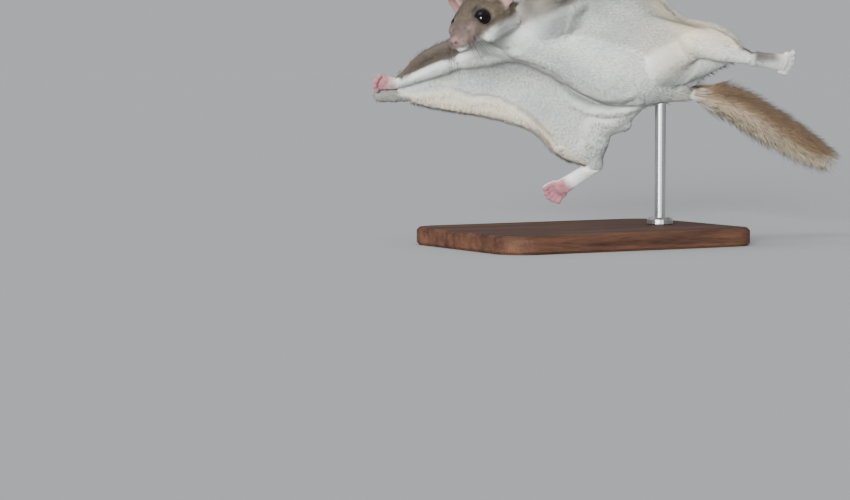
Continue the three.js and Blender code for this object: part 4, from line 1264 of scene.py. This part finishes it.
FACE_SIZES = {"Tufts per mm2": 8.5, "Width mm": 0.16, "Stray": 0.1, "Clump": 0.12, "Clump mm": 2.5}
UNDER_SIZES = {"Tufts per mm2": 2.5, "Width mm": 0.27}
OVER_SIZES = {"Tufts per mm2": 2.3}
FRINGE_SIZES = {"Tufts per mm2": 6.5, "Width mm": 0.2, "Stray": 0.1}
TAIL_SIZES = {"Tufts per mm2": 7.8, "Width mm": 0.32, "Stray": 0.06, "Clump": 0.07, "Clump mm": 8.0}
grow_coat("coat_face", "where_face", FACE_FUR, 11, FACE_SIZES)
grow_coat("coat_under_left", "where_under_left", FUR, 12, UNDER_SIZES)
grow_coat("coat_under_right", "where_under_right", FUR, 13, UNDER_SIZES)
grow_coat("coat_over_left", "where_over_left", FUR, 14, OVER_SIZES)
grow_coat("coat_over_right", "where_over_right", FUR, 15, OVER_SIZES)
grow_coat("coat_fringe", "where_edge", FUR, 16, FRINGE_SIZES)
tail_hair = grow_coat("tail_hair", "where_tail", TAIL_HAIR, 17, TAIL_SIZES, segments=3)
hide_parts("tail")
bpy.data.objects.remove(unwrap)


def clouded_finish(name, cloud_size, dark, pale, roughness, ior=1.5):
    """A plain finish whose colour drifts between two tones, in soft clouds of a size in millimetres."""
    material, tree = new_material(name)
    place = add(tree, "ShaderNodeTexCoord").outputs["Object"]
    cloud = add(tree, "ShaderNodeTexNoise", {"Vector": place, "Scale": times_a_metre(cloud_size)})
    tone = add(tree, "ShaderNodeMix", {0: cloud.outputs[0], 6: (*rgb(dark), 1), 7: (*rgb(pale), 1)},
               data_type="RGBA")
    shader = add(tree, "ShaderNodeBsdfPrincipled", {"Base Color": tone.outputs[2], "Roughness": roughness,
                                                    "IOR": ior})
    add(tree, "ShaderNodeOutputMaterial", {"Surface": shader.outputs[0]})
    return material


# Wet cornea over a black iris: a deep gloss with a sharp highlight
WET_BLACK = clouded_finish("wet_black_eye", 2.5, "#050303", "#120906", 0.05, 1.34)
# Bare dark skin of the lids: a dull rim that sets the eye off
LID_SKIN = clouded_finish("dark_lid_skin", 0.3333, "#120d0b", "#2c221e", 0.5)
# Horn of the claws: thin, pale and a little glossy, streaked with brown
HORN = clouded_finish("thin_horn", 0.6667, "#8d7a6c", "#cbb9a8", 0.3, 1.54)
# Stiff dark hair of the whiskers, with a slight shine
STIFF_HAIR = clouded_finish("stiff_dark_hair", 3.3333, "#1a1412", "#3a2e28", 0.35)


def finished(thing, material):
    thing.data.materials.clear()
    thing.data.materials.append(material)
    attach(thing, "root")
    return thing


# Eyes: large balls with a domed cornea, inside a thin rim of lid
CORNEA_FROM, CORNEA_DOME = 0.6, 0.035
LID_STEPS = 48
LID_OUT, LID_FORWARD = 0.12, 0.05
LID_WIDE, LID_DEEP = 0.3, 0.26


def make_eye(name, side):
    centre = eye_centre(side)
    outward = HEAD @ unit(np.array(EYE_FACES) * [side, 1, 1])
    facing = np.array(Vector(outward).to_track_quat("Z", "Y").to_matrix())
    bm = bmesh.new()
    bmesh.ops.create_uvsphere(bm, u_segments=48, v_segments=32, radius=1)
    for vertex in bm.verts:
        local = np.array(vertex.co)
        dome = 1 + CORNEA_DOME * max(local[2] - CORNEA_FROM, 0) / (1 - CORNEA_FROM)
        vertex.co = to_row((centre + facing @ (local * dome) * EYE_RADIUS)[None])[0]
    eyeball = finished(from_bmesh("eyeball_" + name, bm), WET_BLACK)
    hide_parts("eye_" + name)


def make_lid(name, side):
    outward = HEAD @ unit(np.array(EYE_FACES) * [side, 1, 1])
    facing = np.array(Vector(outward).to_track_quat("Z", "Y").to_matrix())
    around = np.linspace(0, 2 * math.pi, LID_STEPS + 1)
    radius = math.sqrt(EYE_RADIUS ** 2 - LIDS_OPEN ** 2) + LID_OUT
    forward = np.full(LID_STEPS + 1, LIDS_OPEN + LID_FORWARD)
    rim = np.column_stack([np.cos(around) * radius, np.sin(around) * radius, forward])
    path = eye_centre(side) + rim @ facing.T
    bm = bmesh.new()
    wide, deep = np.full(LID_STEPS, LID_WIDE), np.full(LID_STEPS, LID_DEEP)
    tube(bm, path[:-1], wide, deep, outward, 10, round_ends=False)
    finished(from_bmesh("lid_rim_" + name, bm), LID_SKIN)


for name, limb in LIMBS.items():
    make_eye(name, limb["side"])
    make_lid(name, limb["side"])

# Claws: half widths and depths in millimetres at the root, and the share of them at the point
CLAW_WIDE, CLAW_DEEP, CLAW_POINT = 0.32, 0.5, 0.12
CLAW_STEPS = 10


def make_claws(kind, name, limb):
    bm = bmesh.new()
    _, turn = paw_frame(kind, limb)
    taper = np.linspace(1, CLAW_POINT, CLAW_STEPS)
    for _, claw in digits_of(kind, limb):
        tube(bm, curve(claw, CLAW_STEPS), CLAW_WIDE * taper, CLAW_DEEP * taper, turn[:, 2], 8)
    finished(from_bmesh(f"claws_{kind}_{name}", bm), HORN)


for kind in PAWS:
    for name, limb in LIMBS.items():
        make_claws(kind, name, limb)

# Whiskers: stiff hairs in rows on the whisker pads, longer towards the cheeks, in millimetres on the head
WHISKER_ROWS, WHISKERS_IN_ROW = 3, 4
FIRST_WHISKER = np.array([5.0, 3.2, 0.2])
NEXT_WHISKER = np.array([0.5, 1.7, 0])
NEXT_ROW = np.array([0, 0, -1.0])
SHORTEST, LONGER, LENGTH_CHANCE = 15, 3.2, 2
AIM = np.array([0.42, -0.5, -0.75])
AIM_NEXT, AIM_NEXT_ROW, AIM_CHANCE = 0.16, -0.1, 0.07
BEND = np.array([-0.05, 0.35, -0.2])
BEND_SHARE = 0.45
WHISKER_ROOT, WHISKER_RADIUS, WHISKER_TIP = 0.8, 0.07, 0.15
WHISKER_STEPS = 9


def make_whiskers(name, side, rng):
    bm = bmesh.new()
    steps = np.linspace(0, 1, WHISKER_STEPS)[:, None]
    radius = WHISKER_RADIUS * np.linspace(1, WHISKER_TIP, WHISKER_STEPS)
    for row in range(WHISKER_ROWS):
        for k in range(WHISKERS_IN_ROW):
            root = FIRST_WHISKER + NEXT_WHISKER * k + NEXT_ROW * row
            length = SHORTEST + LONGER * k + rng.uniform(-LENGTH_CHANCE, LENGTH_CHANCE)
            aim = unit(AIM + [0, AIM_NEXT * k, AIM_NEXT_ROW * row])
            aim = unit(aim + rng.normal(size=3) * AIM_CHANCE)
            line = root - aim * WHISKER_ROOT + aim * steps * length + BEND * steps ** 2 * length * BEND_SHARE
            path = np.array([on_head(place, side) for place in line])
            tube(bm, path, radius, radius, HEAD[:, 1], 5, round_ends=False)
    finished(from_bmesh("whiskers_" + name, bm), STIFF_HAIR)


whisker_chance = np.random.default_rng(23)
for name, limb in LIMBS.items():
    make_whiskers(name, limb["side"], whisker_chance)

# Walnut's growth rings and pores across the grain, in millimetres, with pores coarse enough to show, and how
# much more slowly both change along the grain
RING, WOOD_PORE, ALONG_GRAIN = 6.25, 0.625, 0.08
WOOD_RELIEF = 0.2 * MM


# Oiled walnut with its grain along the base: dark rings and open pores under a dull sheen
def walnut_finish():
    material, tree = new_material("oiled_walnut")
    place = add(tree, "ShaderNodeTexCoord").outputs["Object"]
    long_way = add(tree, "ShaderNodeMapping", {"Vector": place, "Scale": (1.0, ALONG_GRAIN, 1.0)})
    rings = add(tree, "ShaderNodeTexNoise", {"Vector": long_way, "Scale": times_a_metre(RING), "Detail": 5.0,
                                             "Roughness": 0.6})
    pores = add(tree, "ShaderNodeTexNoise", {"Vector": long_way, "Scale": times_a_metre(WOOD_PORE),
                                             "Detail": 2.0})
    ramp = add(tree, "ShaderNodeValToRGB", {"Fac": rings.outputs[0]})
    for stop, place_on_ramp, colour in zip(ramp.color_ramp.elements, (0.3, 0.72), ("#33211a", "#6e4a36")):
        stop.position = place_on_ramp
        stop.color = (*rgb(colour), 1)
    dark = add(tree, "ShaderNodeMapRange", {"Value": pores.outputs[0], "From Min": 0.35, "From Max": 0.5,
                                            "To Min": 0.7, "To Max": 1.0})
    grey = add(tree, "ShaderNodeCombineColor", {"Red": dark, "Green": dark, "Blue": dark})
    mixed = add(tree, "ShaderNodeMix", {0: 1.0, 6: ramp.outputs[0], 7: grey.outputs[0]}, data_type="RGBA",
                blend_type="MULTIPLY")
    bump = add(tree, "ShaderNodeBump", {"Strength": 0.25, "Distance": WOOD_RELIEF,
                                        "Height": pores.outputs[0]})
    rough = add(tree, "ShaderNodeMapRange", {"Value": rings.outputs[0], "To Min": 0.68, "To Max": 0.8})
    shader = add(tree, "ShaderNodeBsdfPrincipled", {"Base Color": mixed.outputs[2], "Roughness": rough,
                                                    "Normal": bump, "Specular IOR Level": 0.25})
    add(tree, "ShaderNodeOutputMaterial", {"Surface": shader.outputs[0]})
    return material


# Marks of the turning on the rod: their length round it in millimetres, and how much finer they are along it
TURNING_MARK, MARKS_FINER = 3.3333, 30
STEEL_RELIEF = 0.05 * MM


# Turned steel: bright, with fine rings round the rod that spread its highlight
def steel_finish():
    material, tree = new_material("turned_steel")
    place = add(tree, "ShaderNodeTexCoord").outputs["Object"]
    fine = add(tree, "ShaderNodeMapping", {"Vector": place, "Scale": (1.0, 1.0, MARKS_FINER)})
    marks = add(tree, "ShaderNodeTexNoise", {"Vector": fine, "Scale": times_a_metre(TURNING_MARK),
                                             "Detail": 2.0})
    rough = add(tree, "ShaderNodeMapRange", {"Value": marks.outputs[0], "To Min": 0.22, "To Max": 0.38})
    bump = add(tree, "ShaderNodeBump", {"Strength": 0.1, "Distance": STEEL_RELIEF,
                                        "Height": marks.outputs[0]})
    shader = add(tree, "ShaderNodeBsdfPrincipled", {"Base Color": (*rgb("#c4c5c6"), 1), "Metallic": 1.0,
                                                    "Roughness": rough, "Normal": bump})
    add(tree, "ShaderNodeOutputMaterial", {"Surface": shader.outputs[0]})
    return material


for name, material in (("stand_base", walnut_finish()), ("stand_rod", steel_finish())):
    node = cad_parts[name]
    node.data.materials.clear()
    node.data.materials.append(material)

# Camera, floor and light. The lights' strengths are in watts a square metre and their widths in degrees
FLOOR_RADIUS = 30
WORLD_COLOUR, WORLD_STRENGTH = "#c8cacc", 0.84
KEY_STRENGTH, KEY_WIDTH = 6.0, 18
TOP_STRENGTH, TOP_WIDTH = 0.9, 40


def make_camera():
    """Sets up the camera and returns its right, up and backward ways in the row frame, as columns."""
    data = bpy.data.cameras.new("camera")
    data.sensor_width = SENSOR
    data.sensor_fit = "HORIZONTAL"
    data.lens = FOCAL_PIXELS * SENSOR / PICTURE_WIDTH
    data.clip_start, data.clip_end = 0.01, 100
    camera = new_object("camera", data)
    axes = np.column_stack([LEFTWARDS, -NOSEWARDS, UPWARDS])
    turn = TURN @ axes.T
    place = Matrix.Translation((TRUNK - turn @ TRUNK_SEEN) * MM)
    camera.matrix_world = place @ Matrix(turn.tolist()).to_4x4()
    bpy.context.scene.camera = camera
    return turn


# Matt painted floor: a pale even grey that takes soft shadows
def make_floor():
    bm = bmesh.new()
    bmesh.ops.create_circle(bm, cap_ends=True, radius=FLOOR_RADIUS, segments=96)
    floor = from_bmesh("floor", bm)
    material, tree = new_material("pale_floor")
    shader = add(tree, "ShaderNodeBsdfPrincipled", {"Base Color": (*rgb("#b8babc"), 1), "Roughness": 0.95,
                                                    "Specular IOR Level": 0.1})
    add(tree, "ShaderNodeOutputMaterial", {"Surface": shader.outputs[0]})
    floor.data.materials.append(material)


def make_sun(name, towards, strength, spread):
    """A soft even light from far away, with how wide it looks in degrees."""
    data = bpy.data.lights.new(name, "SUN")
    data.energy, data.angle = strength, math.radians(spread)
    light = new_object(name, data)
    light.rotation_euler = Vector(towards).to_track_quat("Z", "Y").to_euler()


def make_world():
    world = bpy.data.worlds.new("studio")
    world.use_nodes = True
    background = world.node_tree.nodes["Background"]
    background.inputs["Color"].default_value = (*rgb(WORLD_COLOUR), 1)
    background.inputs["Strength"].default_value = WORLD_STRENGTH
    bpy.context.scene.world = world


right, upward, towards = make_camera().T
make_floor()
make_world()
make_sun("key", towards - 0.22 * right + 0.06 * upward, KEY_STRENGTH, KEY_WIDTH)
make_sun("top", -0.3 * right + 0.9 * upward + 0.4 * towards, TOP_STRENGTH, TOP_WIDTH)
